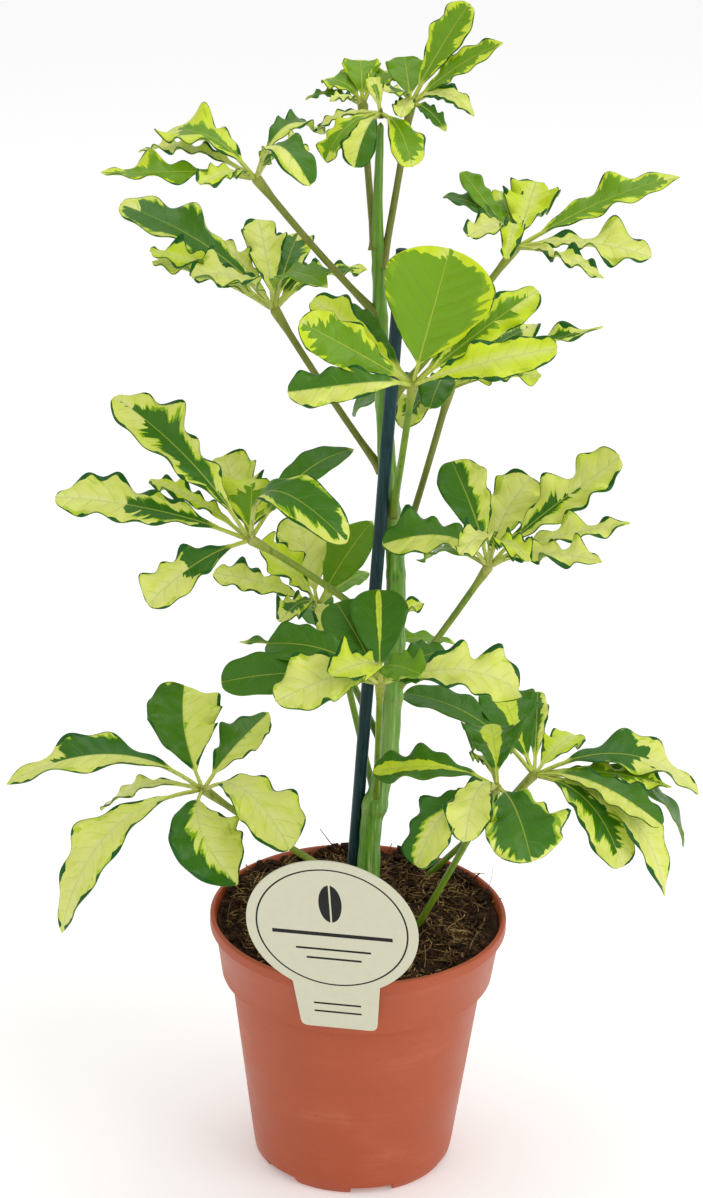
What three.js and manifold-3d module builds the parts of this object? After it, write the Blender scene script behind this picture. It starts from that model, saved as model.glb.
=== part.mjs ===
// A young variegated umbrella plant in a terracotta-coloured nursery pot, with a support cane and a
// blank plant label hooked over the rim. Units are millimetres, +Z is up, +X is right and -Y is front.
// The origin is the centre of the pot's underside.
import * as THREE from 'three';
import { mergeVertices } from 'three/addons/utils/BufferGeometryUtils.js';
import Module from 'manifold-3d';

const wasm = await Module();
wasm.setup();

// Clearance kept between pieces that touch
const GAP = 0.3;

// Pot: outside radii and heights, from the underside up to the lip
const POT_HEIGHT = 109;
const LIP_RADIUS = 60;
const LIP_DEPTH = 5;
const COLLAR_TOP_RADIUS = 57.8;
const COLLAR_FOOT_RADIUS = 55;
const COLLAR_FOOT = 84;
const BODY_TOP_RADIUS = 51;
const BODY_TOP = 81;
const BODY_FOOT_RADIUS = 41.5;
const FOOT_RADIUS = 38.5;
const FOOT_ROUNDING = 9;
const WALL = 1.3;
const FLOOR_TOP = 5;
const RECESS_HEIGHT = 2;
const RECESS_INNER_RADIUS = 20;
const RECESS_OUTER_RADIUS = 33.5;
const POT_SIDES = 36;
const DRAIN_RADIUS = 3.5;
const DRAIN_CIRCLE = 27;
const DRAIN_COUNT = 8;
const NOTCH_WIDTH = 17.6;
const NOTCH_HEIGHT = 3.2;
const NOTCH_TURN = -77.8;
const NOTCH_COUNT = 6;

// Soil
const SOIL_TOP = 106.6;
const SOIL_BUMP = 2.2;
const SOIL_RINGS = 3;

// Main stem: centre line and radii at given heights
const STEM_LINE = [
  [3, 0, 34], [3, 0, 99], [3.6, -0.5, 125], [4.4, -0.5, 151], [7.1, -0.5, 165], [10, 0, 182],
  [11.3, 0, 204], [11.9, 0, 226], [11.7, 0.5, 247], [11, 1, 264], [7, 1, 302], [4.4, 1.5, 339],
  [2.6, 2, 366], [1.2, 2, 391], [0.6, 2, 409], [1, 2, 441],
];
const STEM_RADII = [
  [34, 4.6], [125, 4.5], [165, 4.3], [247, 3.7], [339, 3.1], [391, 2.3], [430, 1.4], [441, 1.2],
];
const STEM_TOP_RADIUS = STEM_RADII[STEM_RADII.length - 1][1];
const STEM_SIDES = 10;
const STEM_STEPS = 30;

// Support cane: a straight round stick with a flat cut top
const CANE_FOOT = [-7.2, 9.6, 29];
const CANE_TOP = [10.3, -11, 395.5];
const CANE_RADIUS = 2.5;

// Plant label: an oval plate with a tab below it, and a tongue bent back over the lip. It is turned round the
// pot, yawed about its own hook, leans forward over the lip and is rolled in its own plane, all in degrees.
const LABEL_TURN = -97.2;
const LABEL_YAW = 4.6;
const LABEL_LEAN = 10;
const LABEL_ROLL = -2.4;
const LABEL_STANDOFF = 0.25;
const LABEL_WIDTH = 68.5;
const LABEL_HEIGHT = 64.5;
const LABEL_THICKNESS = 0.8;
const LABEL_FOOT = 105.5;
const LINTEL_FRONT = -1.4;
const TAB_TOP_WIDTH = 35;
const TAB_FOOT_WIDTH = 31;
const TAB_FOOT = 88;
const TAB_CORNER = 3;
const TONGUE_WIDTH = 12;
const TONGUE_FOOT = 90;
const TONGUE_REACH = 8;

// Leaves: blades and stalks
const BLADE_THICKNESS = 0.8;
const BLADE_FOLD = 0.2;
const STALK_HALF_WIDTH = 0.55;
const STALK_SHARE = 0.16;
const HUB_DEPTH = 1.5;
const PETIOLE_RINGS = [[0, 2.7], [0.06, 1.8], [0.2, 1.35], [0.5, 1.25], [0.85, 1.35], [0.95, 2], [1, 2.2]];
const PETIOLE_SIDES = 6;
const PETIOLE_SAG = 3;

// Outline of a blade: it widens with the power of BLADE_TAPER and ends with the power of its kind of tip
const BLADE_TAPER = 1.15;
const ROUNDED_END = 0.5;
const POINTED_END = 0.9;

// Ripples along a blade's edges, as shares of its width, and the rows that a blade is divided into
const RIPPLE_HEIGHT = 0.2;
const RIPPLE_WIDTH = 0.16;
const ROW_LENGTH = 11;
const FEWEST_ROWS = 4;
const MOST_ROWS = 6;
const ROW_CROWDING = 1.4;

// Each leaf has the place of its hub, the place of its stalk's foot, the way the whorl faces, its tone, the
// numbers of its leaflets that end in a point, and its leaflets. A leaflet has the turn and rise of its tip
// seen from the hub in degrees, its length and width in millimetres, the lift of its midrib near the hub and
// near the tip and its sideways sweep (all three as shares of its length), its roll in degrees and how
// strongly its edges ripple.
const LEAVES = {
  top_whorl: {
    hub: [1, 2, 445],
    foot: [1, 2, 443.5],
    face: [0, -0.2, 1],
    tone: 'fresh',
    pointed: [0, 1, 2, 3],
    leaflets: [
      [-55, -37, 26, 14, 0.3, 0.25, 0, 0, 0.3],
      [-117, -38, 26, 13, 0.3, 0.25, 0, 0, 0.3],
      [-154, -36, 28, 12, 0.3, 0.25, 0, 0, 0.4],
      [176, -18, 25, 6, 0.15, 0.2, 0, 0, 0.3],
      [104, 30, 18, 6, 0.1, 0, 0, 0, 0.3],
    ],
  },
  top_left: {
    hub: [-6, 16, 444],
    foot: [0, 2, 391],
    face: [0, -0.2, 1],
    tone: 'fresh',
    pointed: [0, 1, 2],
    leaflets: [
      [168, -1, 22, 5, 0.2, 0.25, 0, 0, 0.4],
      [-142, 13, 16, 6, 0.2, 0.2, 0, 0, 0.4],
      [145, 17, 19, 14, 0.3, 0.25, 0, 0, 0.4],
      [94, 34, 21, 14, 0.2, 0.2, 0, 0, 0.3],
      [41, 31, 17, 11, 0.3, 0.2, 0, 0, 0.3],
    ],
  },
  top_right: {
    hub: [12, 8, 447],
    foot: [3, 2, 384],
    face: [0, -0.5, 1],
    tone: 'fresh',
    pointed: [1, 2, 4],
    leaflets: [
      [14, 60, 45, 15, 0.05, 0.05, 0, 0, 0.3],
      [-17, 38, 44, 13, 0.05, 0.08, 0, 0, 0.3],
      [-17, -5, 25, 9, 0.4, 0.5, 0, 0, 0.3],
      [98, 35, 22, 15, 0.1, 0, 0, 0, 0.2],
      [-52, -14, 22, 6, 0.2, 0.2, 0, 0, 0.4],
      [-119, 26, 22, 8, 0.2, 0.1, 0, 0, 0.3],
      [-100, 3, 22, 8, 0.2, 0.2, 0, 0, 0.3],
    ],
  },
  upper_left: {
    hub: [-45, -12, 423],
    foot: [1.5, 1.5, 365],
    face: [0, -0.2, 1],
    tone: 'fresh',
    pointed: [0, 2],
    leaflets: [
      [175, -1, 58, 14, 0.06, 0, 0, 0, 0.8],
      [145, 12, 43, 21, 0.22, 0.25, 0, 0, 0.6],
      [143, -2, 57, 9, 0.15, 0.15, 0, 0, 0.6],
      [-122, 11, 37, 11, 0.15, 0.1, 0, 0, 0.6],
      [51, 13, 38, 13, 0.5, 0.42, 0, 0, 0.5],
      [-6, 31, 23, 12, 0.3, 0.2, 0, 0, 0.8],
      [-55, 11, 37, 15, 0.45, 0.55, 0, 0, 0.4],
    ],
  },
  second_left: {
    hub: [-38, 14, 362],
    foot: [5, 2, 301],
    face: [0, -0.3, 1],
    tone: 'deep',
    pointed: [7, 8, 9],
    leaflets: [
      [171, 32, 71, 22, 0.15, 0.12, 0, 0, 0.5],
      [-157, 30, 58, 12, 0.1, 0.1, 0, 0, 1],
      [174, 19, 50, 8, 0.1, 0.1, 0, 0, 1],
      [-134, 28, 49, 17, 0.2, 0.2, 0, 0, 0.8],
      [129, 26, 40, 9, 0.1, 0.1, 0, 0, 0.8],
      [103, 38, 41, 15, 0.1, 0.1, 0, 0, 0.8],
      [76, 29, 40, 15, 0.1, 0.1, 0, 0, 0.5],
      [-55, 29, 41, 15, 0.4, 0.3, 0, 0, 0.3],
      [61, 6, 39, 10, 0.2, 0.2, 0, 0, 0.4],
      [27, 15, 41, 9, 0.25, 0.2, 0, 0, 0.9],
    ],
  },
  upper_right: {
    hub: [54, 16, 389],
    foot: [7, 2, 330],
    face: [0, -0.3, 1],
    tone: 'pale',
    pointed: [0, 2],
    leaflets: [
      [5, 24, 67, 17, 0.05, 0.1, 0, 0, 0.5],
      [-19, 3, 53, 17, 0.12, 0.1, 0, 0, 1.1],
      [-45, -1, 45, 8, 0.1, 0.1, 0, 0, 1],
      [77, 23, 38, 20, 0.1, 0, 0, 0, 0.8],
      [132, 35, 38, 9, 0.05, 0, 0, 0, 0.3],
      [99, 16, 37, 12, 0.1, 0, 0, 0, 0.7],
      [140, 18, 38, 8, 0.2, 0.2, 0, 0, 0.3],
      [-123, 21, 38, 13, 0.3, 0.2, 0, 0, 0.6],
      [-98, 11, 36, 8, 0.4, 0.4, 0, 0, 0.9],
    ],
  },
  center_front: {
    hub: [15, -46, 355],
    foot: [9.5, -2, 285],
    face: [0, -1, 0.6],
    tone: 'fresh',
    leaflets: [
      [0, 81, 55, 43, 0.04, 0.04, 0, 0, 0.15],
      [-164, 33, 52, 18, 0.1, 0.05, 0, 0, 0.6],
      [156, 33, 49, 14, 0.15, 0.1, 0, 0, 0.9],
      [-160, 3, 49, 14, 0.42, 0.1, 0, 0, 0.8],
      [129, 25, 44, 11, 0.1, 0.1, 0, 0, 0.4],
      [12, 37, 58, 14, 0.1, 0.15, 0, 0, 0.7],
      [38, 31, 50, 15, 0.15, 0.1, 0, 0, 0.8],
      [-18, 22, 59, 15, 0.2, 0.2, 0, 0, 1],
    ],
  },
  center_right_back: {
    hub: [31, 32, 325],
    foot: [11, 1, 259],
    face: [0, -0.2, 1],
    tone: 'deep',
    pointed: [3],
    leaflets: [
      [166, -21, 42, 21, 0.2, 0.2, 0, 0, 0.3],
      [-123, -11, 35, 13, 0.2, 0.3, 0, 0, 0.5],
      [-104, 6, 35, 13, 0.3, 0.3, 0, 0, 0.3],
      [7, 22, 64, 9, 0.1, 0.05, 0, 0, 0.9],
      [-23, 16, 39, 13, 0.1, 0.1, 0, 0, 0.9],
      [38, 22, 46, 14, 0.1, 0.1, 0, 0, 0.8],
      [93, 3, 35, 12, 0.1, 0.1, 0, 0, 0.3],
    ],
  },
  middle_left: {
    hub: [-45, -26, 283],
    foot: [10.5, 4.2, 230],
    bow: [0, 10, 0],
    face: [0, -0.4, 1],
    tone: 'pale',
    pointed: [6],
    leaflets: [
      [164, 43, 75, 22, 0.12, 0.12, 0, 0, 0.7],
      [178, 11, 76, 22, 0.08, 0.08, 0, 0, 0.5],
      [-148, -22, 48, 19, 0.15, 0.15, 0, 0, 0.6],
      [142, 12, 52, 9, 0.1, 0.1, 0, 0, 0.8],
      [109, 30, 41, 22, 0.1, 0, 0, 0, 0.9],
      [90, 45, 25, 26, 0.2, 0, 0, 0, 0.9],
      [39, 27, 56, 14, 0.25, 0.25, 0, 0, 0.1],
      [-37, 14, 48, 21, 0.7, 0.6, 0, 0, 0.2],
    ],
  },
  middle_left_back: {
    hub: [-19, 26, 233],
    foot: [9, 1, 182],
    face: [0, -0.5, 1],
    tone: 'fresh',
    pointed: [0, 1],
    leaflets: [
      [25, 55, 40, 18, 0.1, 0.1, 0, 0, 0.2],
      [58, 2, 37, 10, 0.1, 0.1, 0, 0, 0.3],
      [115, 54, 37, 23, 0.1, 0.05, 0, 0, 0.5],
      [-153, 49, 40, 18, 0.1, 0.1, 0, 0, 0.6],
      [-177, 18, 44, 13, 0.08, 0.1, 0, 0, 0.6],
      [-114, 11, 36, 11, 0.15, 0.25, 0, 0, 0.8],
      [-82, 0, 35, 9, 0.2, 0.25, 0, 0, 0.4],
    ],
  },
  low_back: {
    hub: [-8, 40, 199],
    foot: [6, 1, 160],
    face: [0, 0, 1],
    tone: 'fresh',
    pointed: [0, 1],
    leaflets: [
      [171, 10, 44, 7, 0.15, 0.1, 0, 0, 0.5],
      [15, 8, 47, 12, 0.2, 0.2, 0, 0, 0.5],
      [41, 23, 45, 10, 0.2, 0.1, 0, 0, 0.9],
      [120, 20, 42, 16, 0.2, 0.2, 0, 0, 0.5],
      [75, 10, 36, 18, 0.2, 0.2, 0, 0, 0.5],
      [129, -6, 44, 14, 0.2, 0.2, 0, 0, 0.5],
    ],
  },
  middle_right: {
    hub: [47, -14, 269],
    foot: [12, 0, 207],
    face: [0, -0.4, 1],
    tone: 'pale',
    pointed: [4, 5],
    leaflets: [
      [118, 45, 45, 20, 0.15, 0.1, 0, 0, 0.3],
      [-167, 16, 44, 20, 0.35, 0.3, 0, 0, 0.6],
      [64, 33, 44, 22, 0.1, 0, 0.08, 0, 0.8],
      [8, 42, 66, 21, 0.1, 0, 0, 0, 0.8],
      [-15, 25, 60, 11, 0.15, 0.05, 0, 0, 1],
      [-39, 18, 56, 13, 0.15, 0.1, 0, 0, 1],
      [-109, 28, 42, 11, 0.4, 0.3, 0, 0, 0.9],
      [-68, 25, 41, 10, 0.3, 0.3, 0, 0, 1],
      [127, -17, 43, 11, 0.2, 0.2, 0, 0, 0.5],
    ],
  },
  low_centre: {
    hub: [6, -46, 233],
    foot: [6, 0, 158],
    face: [0, -0.6, 1],
    tone: 'deep',
    leaflets: [
      [124, 35, 38, 21, 0.1, 0.05, 0, 0, 0.1],
      [93, 46, 38, 22, 0.1, 0.05, 0, 0, 0.1],
      [170, 15, 46, 18, 0.3, 0.25, 0, 0, 0.3],
      [-173, 2, 61, 20, 0.13, 0.15, 0, 0, 0.2],
      [-143, 6, 49, 23, 0.3, 0.2, 0, 0, 0.6],
      [-123, 25, 38, 16, 0.35, 0.25, 0, 0, 0.9],
      [-57, 28, 32, 15, 0.35, 0.2, 0, 0, 0.6],
      [7, 18, 18, 13, 0.15, 0.15, 0, 0, 0.4],
      [-2, -1, 53, 22, 0.25, 0.35, 0, 0, 0.8],
      [48, 2, 38, 14, 0.2, 0.1, 0, 0, 0.3],
    ],
  },
  lower_left: {
    hub: [-63, -6, 166],
    foot: [3, 0, 118],
    face: [0, -0.2, 1],
    tone: 'pale',
    pointed: [0, 1, 3, 6],
    leaflets: [
      [-176, 2, 78, 21, 0.3, 0.25, 0, 0, 0.5],
      [-148, -37, 80, 22, 0.38, 0.36, 0, 0, 0.4],
      [153, -24, 51, 12, 0.2, 0.15, 0, 0, 0.4],
      [-66, -33, 45, 30, 0.3, 0.25, -0.28, 0, 0.3],
      [-44, -10, 50, 26, 0.4, 0.35, 0, 0, 0.4],
      [105, 39, 46, 30, 0.1, 0, 0.1, 0, 0.5],
      [54, 23, 46, 18, 0.1, 0.05, 0, 0, 0.5],
    ],
  },
  lower_right_front: {
    hub: [53, -34, 184],
    foot: [16, -2, 88],
    face: [0, -0.3, 1],
    tone: 'deep',
    leaflets: [
      [180, 6, 49, 18, 0.22, 0.15, 0, 0, 0.5],
      [-141, -29, 46, 20, 0.4, 0.4, 0, 0, 0.5],
      [-111, -11, 37, 17, 0.4, 0.35, -0.1, 0, 0.6],
      [-69, -23, 39, 31, 0.3, 0.25, 0, 0, 0.6],
      [94, 17, 36, 22, 0.2, 0.1, 0, 0, 0.8],
      [101, -8, 36, 9, 0.2, 0.2, 0, 0, 0.6],
    ],
  },
  lower_right_back: {
    hub: [70, 22, 162],
    foot: [14, 44, 88],
    face: [0, -0.2, 1],
    tone: 'deep',
    pointed: [4, 5, 9],
    leaflets: [
      [150, 18, 65, 17, 0.2, 0.2, 0, 0, 0.2],
      [112, 32, 43, 24, 0.15, 0.1, 0.06, 0, 0.3],
      [87, 32, 40, 9, 0.1, 0, 0, 0, 0.3],
      [63, 2, 39, 16, 0.1, 0.1, 0, 0, 0.5],
      [6, -9, 69, 24, 0.3, 0.3, 0, 0, 0.5],
      [-11, 1, 56, 12, 0.1, 0.1, 0, 0, 0.8],
      [8, -29, 73, 14, 0.35, 0.35, 0, 0, 0.3],
      [-33, -5, 60, 16, 0.2, 0.15, 0, 0, 0.4],
      [-44, -26, 54, 23, 0.3, 0.35, 0, 0, 0.4],
      [-28, -33, 72, 17, 0.36, 0.4, 0, 0, 0.5],
    ],
  },
};

const COLOURS = {
  terracotta: '#bd6244',
  soil: '#3a2a20',
  stem: '#6f9a3a',
  cane: '#22393c',
  label: '#dcdbc8',
  fresh: '#8db33a',
  pale: '#c9d870',
  deep: '#3f7a2e',
};

const degrees = (angle) => THREE.MathUtils.degToRad(angle);
const vector = (place) => new THREE.Vector3(...place);

// A closed mesh as a solid that can be joined and cut
function toSolid(geometry) {
  const bare = geometry.clone();
  bare.deleteAttribute('normal');
  bare.deleteAttribute('uv');
  const merged = mergeVertices(bare, 1e-4);
  const vertProperties = new Float32Array(merged.attributes.position.array);
  const triVerts = new Uint32Array(merged.index.array);
  return new wasm.Manifold(new wasm.Mesh({ numProp: 3, vertProperties, triVerts }));
}

function toGeometry(solid) {
  const mesh = solid.getMesh();
  const geometry = new THREE.BufferGeometry();
  geometry.setAttribute('position', new THREE.BufferAttribute(new Float32Array(mesh.vertProperties), 3));
  geometry.setIndex(new THREE.BufferAttribute(new Uint32Array(mesh.triVerts), 1));
  geometry.computeVertexNormals();
  return geometry;
}

function joined(solids) {
  return solids.reduce((whole, next) => whole.add(next));
}

// Repeatable draws between 0 and 1
function drawer(seed) {
  let state = seed;
  return () => {
    state = (state * 16807) % 2147483647;
    return state / 2147483647;
  };
}

// A closed cylinder bent along a curve through rings that each have a share of the way and a radius
function bentCylinder(curve, rings, sides) {
  const steps = rings.length - 1;
  const geometry = new THREE.CylinderGeometry(1, 1, 1, sides, steps);
  const across = curve.getTangent(0.5).cross(new THREE.Vector3(0, -1, 0)).normalize();
  const places = geometry.attributes.position;
  const corner = new THREE.Vector3();
  for (let index = 0; index < places.count; index += 1) {
    corner.fromBufferAttribute(places, index);
    const [share, radius] = rings[Math.round((corner.y + 0.5) * steps)];
    const forward = curve.getTangentAt(share);
    const aside = across.clone().addScaledVector(forward, -across.dot(forward)).normalize();
    const place = curve.getPointAt(share);
    place.addScaledVector(aside, corner.x * radius);
    place.addScaledVector(aside.cross(forward), corner.z * radius);
    places.setXYZ(index, place.x, place.y, place.z);
  }
  return geometry;
}

// A sheet of even thickness, whose two faces are split into triangles alike
function thickSheet(columns, rows, thickness, placeAt) {
  const plane = new THREE.PlaneGeometry(2, 1, columns, rows);
  const flat = plane.attributes.position;
  const corners = [];
  for (const side of [0.5, -0.5]) {
    for (let index = 0; index < flat.count; index += 1) {
      const { place, normal } = placeAt(0.5 - flat.getY(index), flat.getX(index));
      place.addScaledVector(normal, side * thickness);
      corners.push(place.x, place.y, place.z);
    }
  }
  const faces = [];
  for (let index = 0; index < plane.index.count; index += 3) {
    const [a, b, c] = [0, 1, 2].map((step) => plane.index.getX(index + step));
    faces.push(a, b, c);
    faces.push(flat.count + a, flat.count + c, flat.count + b);
  }
  const across = columns + 1;
  const rim = [];
  for (let row = 0; row < rows; row += 1) rim.push(row * across);
  for (let column = 0; column < columns; column += 1) rim.push(rows * across + column);
  for (let row = rows; row > 0; row -= 1) rim.push(row * across + columns);
  for (let column = columns; column > 0; column -= 1) rim.push(column);
  rim.forEach((here, index) => {
    const next = rim[(index + 1) % rim.length];
    faces.push(here, flat.count + here, flat.count + next);
    faces.push(here, flat.count + next, next);
  });
  const geometry = new THREE.BufferGeometry();
  geometry.setAttribute('position', new THREE.Float32BufferAttribute(corners, 3));
  geometry.setIndex(faces);
  return geometry;
}

// How wide a blade is at a share of its way from stalk to tip, as a share of its full width
function bladeOutline(share, end) {
  const way = THREE.MathUtils.clamp(share, 0, 1);
  const widest = BLADE_TAPER / (BLADE_TAPER + end);
  const fullness = widest ** BLADE_TAPER * (1 - widest) ** end;
  return (way ** BLADE_TAPER * (1 - way) ** end) / fullness;
}

// One leaflet: a stalk that widens into a folded blade with rippled edges
function leafletSolid(hub, face, row, end, draw) {
  const [turn, rise, length, width, liftIn, liftOut, sweep, roll, ripple] = row;
  const flat = Math.cos(degrees(rise));
  const way = vector([
    flat * Math.cos(degrees(turn)),
    flat * Math.sin(degrees(turn)),
    Math.sin(degrees(rise)),
  ]);
  const up = face.clone().addScaledVector(way, -face.dot(way)).normalize();
  const aside = up.clone().cross(way);
  const near = hub.clone().addScaledVector(way, length / 3);
  near.addScaledVector(up, liftIn * length);
  near.addScaledVector(aside, sweep * length);
  const far = hub.clone().addScaledVector(way, (length * 2) / 3);
  far.addScaledVector(up, liftOut * length);
  far.addScaledVector(aside, sweep * length);
  const tip = hub.clone().addScaledVector(way, length);
  const midrib = new THREE.CubicBezierCurve3(hub, near, far, tip);
  const phases = [draw(), draw()].map((number) => number * 2 * Math.PI);
  const waves = 1.6 + 0.8 * draw();
  const rows = THREE.MathUtils.clamp(Math.round(length / ROW_LENGTH) + 1, FEWEST_ROWS, MOST_ROWS);
  const placeAt = (step, across) => {
    const even = (step * rows - 1) / (rows - 1);
    const share = even < 0 ? even : 1 - (1 - even) ** ROW_CROWDING;
    const along = even < 0 ? 0 : STALK_SHARE + (1 - STALK_SHARE) * share;
    const place = midrib.getPoint(along);
    const forward = midrib.getTangent(along);
    const side = up.clone().cross(forward).normalize();
    const normal = forward.clone().cross(side);
    side.applyAxisAngle(forward, degrees(roll));
    normal.applyAxisAngle(forward, degrees(roll));
    const blade = bladeOutline(share, end);
    const phase = across > 0 ? phases[0] : phases[1];
    const wave = Math.sin(2 * Math.PI * waves * share + phase) * ripple * blade * across * across;
    const reach = STALK_HALF_WIDTH + (width / 2 - STALK_HALF_WIDTH) * blade;
    place.addScaledVector(side, across * reach * (1 + RIPPLE_WIDTH * wave));
    place.addScaledVector(normal, Math.abs(across) * reach * BLADE_FOLD + wave * width * RIPPLE_HEIGHT);
    return { place, normal };
  };
  return toSolid(thickSheet(2, rows, BLADE_THICKNESS, placeAt));
}

const stemCurve = new THREE.CatmullRomCurve3(STEM_LINE.map(vector));

// The stem's radius at a height, between the stated heights
function stemRadius(height) {
  const upper = STEM_RADII.findIndex(([level]) => level >= height);
  if (upper < 0) return STEM_RADII[STEM_RADII.length - 1][1];
  if (upper === 0) return STEM_RADII[0][1];
  const [low, wide] = STEM_RADII[upper - 1];
  const [high, narrow] = STEM_RADII[upper];
  return THREE.MathUtils.mapLinear(height, low, high, wide, narrow);
}

function stemGeometry(extra) {
  const rings = Array.from({ length: STEM_STEPS + 1 }, (_, step) => {
    const share = step / STEM_STEPS;
    return [share, stemRadius(stemCurve.getPointAt(share).z) + extra];
  });
  return bentCylinder(stemCurve, rings, STEM_SIDES);
}

// The stem with a clear margin around it and past its top
function stemClearance() {
  const top = new THREE.CylinderGeometry(STEM_TOP_RADIUS + GAP, STEM_TOP_RADIUS + GAP, 2 * GAP, STEM_SIDES);
  top.rotateX(Math.PI / 2);
  top.translate(...STEM_LINE[STEM_LINE.length - 1]);
  return toSolid(stemGeometry(GAP)).add(toSolid(top));
}

function petioleGeometry(leaf, extra) {
  const foot = vector(leaf.foot);
  const hub = vector(leaf.hub);
  const middle = foot.clone().lerp(hub, 0.5);
  middle.add(vector(leaf.bow ?? [0, 0, -PETIOLE_SAG]));
  const past = hub.clone().sub(middle).normalize();
  const curve = new THREE.QuadraticBezierCurve3(foot, middle, hub.addScaledVector(past, HUB_DEPTH));
  const rings = PETIOLE_RINGS.map(([share, radius]) => [share, radius + extra]);
  return bentCylinder(curve, rings, PETIOLE_SIDES);
}

function leafGeometry(leaf, seed, clearance) {
  const hub = vector(leaf.hub);
  const face = vector(leaf.face).normalize();
  const draw = drawer(seed);
  const leaflets = leaf.leaflets.map((row, index) => {
    const end = leaf.pointed?.includes(index) ? POINTED_END : ROUNDED_END;
    return leafletSolid(hub, face, row, end, draw);
  });
  const whole = joined([toSolid(petioleGeometry(leaf, 0)), ...leaflets]);
  return toGeometry(whole.subtract(clearance));
}

function caneGeometry(extra) {
  const foot = vector(CANE_FOOT);
  const top = vector(CANE_TOP);
  const rings = [[0, CANE_RADIUS + extra], [1, CANE_RADIUS + extra]];
  return bentCylinder(new THREE.LineCurve3(foot, top), rings, 12);
}

// The pot's section, turned round the upright axis
function potSolid() {
  const outside = [
    [0, 0],
    [RECESS_INNER_RADIUS, 0],
    [RECESS_INNER_RADIUS + 1, RECESS_HEIGHT],
    [RECESS_OUTER_RADIUS - 1, RECESS_HEIGHT],
    [RECESS_OUTER_RADIUS, 0],
    [FOOT_RADIUS, 0],
    [FOOT_RADIUS + 2, FOOT_ROUNDING * 0.3],
    [BODY_FOOT_RADIUS, FOOT_ROUNDING],
    [BODY_TOP_RADIUS, BODY_TOP],
    [COLLAR_FOOT_RADIUS - 0.8, COLLAR_FOOT - 1],
    [COLLAR_FOOT_RADIUS, COLLAR_FOOT],
    [COLLAR_TOP_RADIUS, POT_HEIGHT - LIP_DEPTH - 1],
    [LIP_RADIUS, POT_HEIGHT - LIP_DEPTH],
    [LIP_RADIUS, POT_HEIGHT - 1],
    [LIP_RADIUS - 0.8, POT_HEIGHT],
  ];
  const inside = [
    [LIP_RADIUS - 2, POT_HEIGHT],
    [COLLAR_TOP_RADIUS - WALL, POT_HEIGHT - LIP_DEPTH - 1],
    [COLLAR_FOOT_RADIUS - WALL, COLLAR_FOOT + 1],
    [BODY_TOP_RADIUS - WALL, BODY_TOP - 1],
    [BODY_FOOT_RADIUS - WALL, FOOT_ROUNDING + 2],
    [BODY_FOOT_RADIUS - WALL - 2, FLOOR_TOP],
    [0, FLOOR_TOP],
  ];
  const section = [...outside, ...inside].map(([radius, height]) => new THREE.Vector2(radius, height));
  const body = new THREE.LatheGeometry(section, POT_SIDES).rotateX(Math.PI / 2);
  let pot = toSolid(body);
  for (let index = 0; index < DRAIN_COUNT; index += 1) {
    const turn = (index * 2 * Math.PI) / DRAIN_COUNT;
    const drain = new THREE.CylinderGeometry(DRAIN_RADIUS, DRAIN_RADIUS, 4 * FLOOR_TOP, 8);
    drain.rotateX(Math.PI / 2);
    drain.translate(DRAIN_CIRCLE * Math.cos(turn), DRAIN_CIRCLE * Math.sin(turn), 0);
    pot = pot.subtract(toSolid(drain));
  }
  for (let index = 0; index < NOTCH_COUNT; index += 1) {
    const notch = new THREE.BoxGeometry(14, NOTCH_WIDTH, 2 * NOTCH_HEIGHT);
    notch.translate(RECESS_OUTER_RADIUS - 2 + 7, 0, 0);
    notch.rotateZ(degrees(NOTCH_TURN + (index * 360) / NOTCH_COUNT));
    pot = pot.subtract(toSolid(notch));
  }
  return pot;
}

// Soil fills the pot a little short of the lip, with a lumpy top
function soilSolid() {
  const draw = drawer(41);
  const bumps = Array.from({ length: 7 }, () => [draw() * 0.18, draw() * 0.18, draw() * 6.3, draw()]);
  const section = [
    [0, FLOOR_TOP + GAP],
    [BODY_FOOT_RADIUS - WALL - 2.4, FLOOR_TOP + GAP],
    [BODY_FOOT_RADIUS - WALL - 0.5, FOOT_ROUNDING + 2.3],
    [BODY_TOP_RADIUS - WALL - 0.5, BODY_TOP - 1],
    [COLLAR_FOOT_RADIUS - WALL - 0.5, COLLAR_FOOT + 1.4],
    [COLLAR_TOP_RADIUS - WALL - 1, SOIL_TOP - 1.5],
  ];
  for (let ring = SOIL_RINGS; ring >= 0; ring -= 1) {
    section.push([((COLLAR_TOP_RADIUS - WALL - 2.4) * ring) / SOIL_RINGS, SOIL_TOP]);
  }
  const turned = section.map(([radius, height]) => new THREE.Vector2(radius, height));
  const body = new THREE.LatheGeometry(turned, POT_SIDES).rotateX(Math.PI / 2);
  const places = body.attributes.position;
  for (let index = 0; index < places.count; index += 1) {
    if (places.getZ(index) < SOIL_TOP - 0.1) continue;
    const [x, y] = [places.getX(index), places.getY(index)];
    const lift = bumps.reduce((sum, [a, b, c, d]) => sum + d * Math.sin(a * x + b * y + c), 0);
    places.setZ(index, SOIL_TOP + (SOIL_BUMP * lift) / 3);
  }
  return toSolid(body);
}

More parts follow.
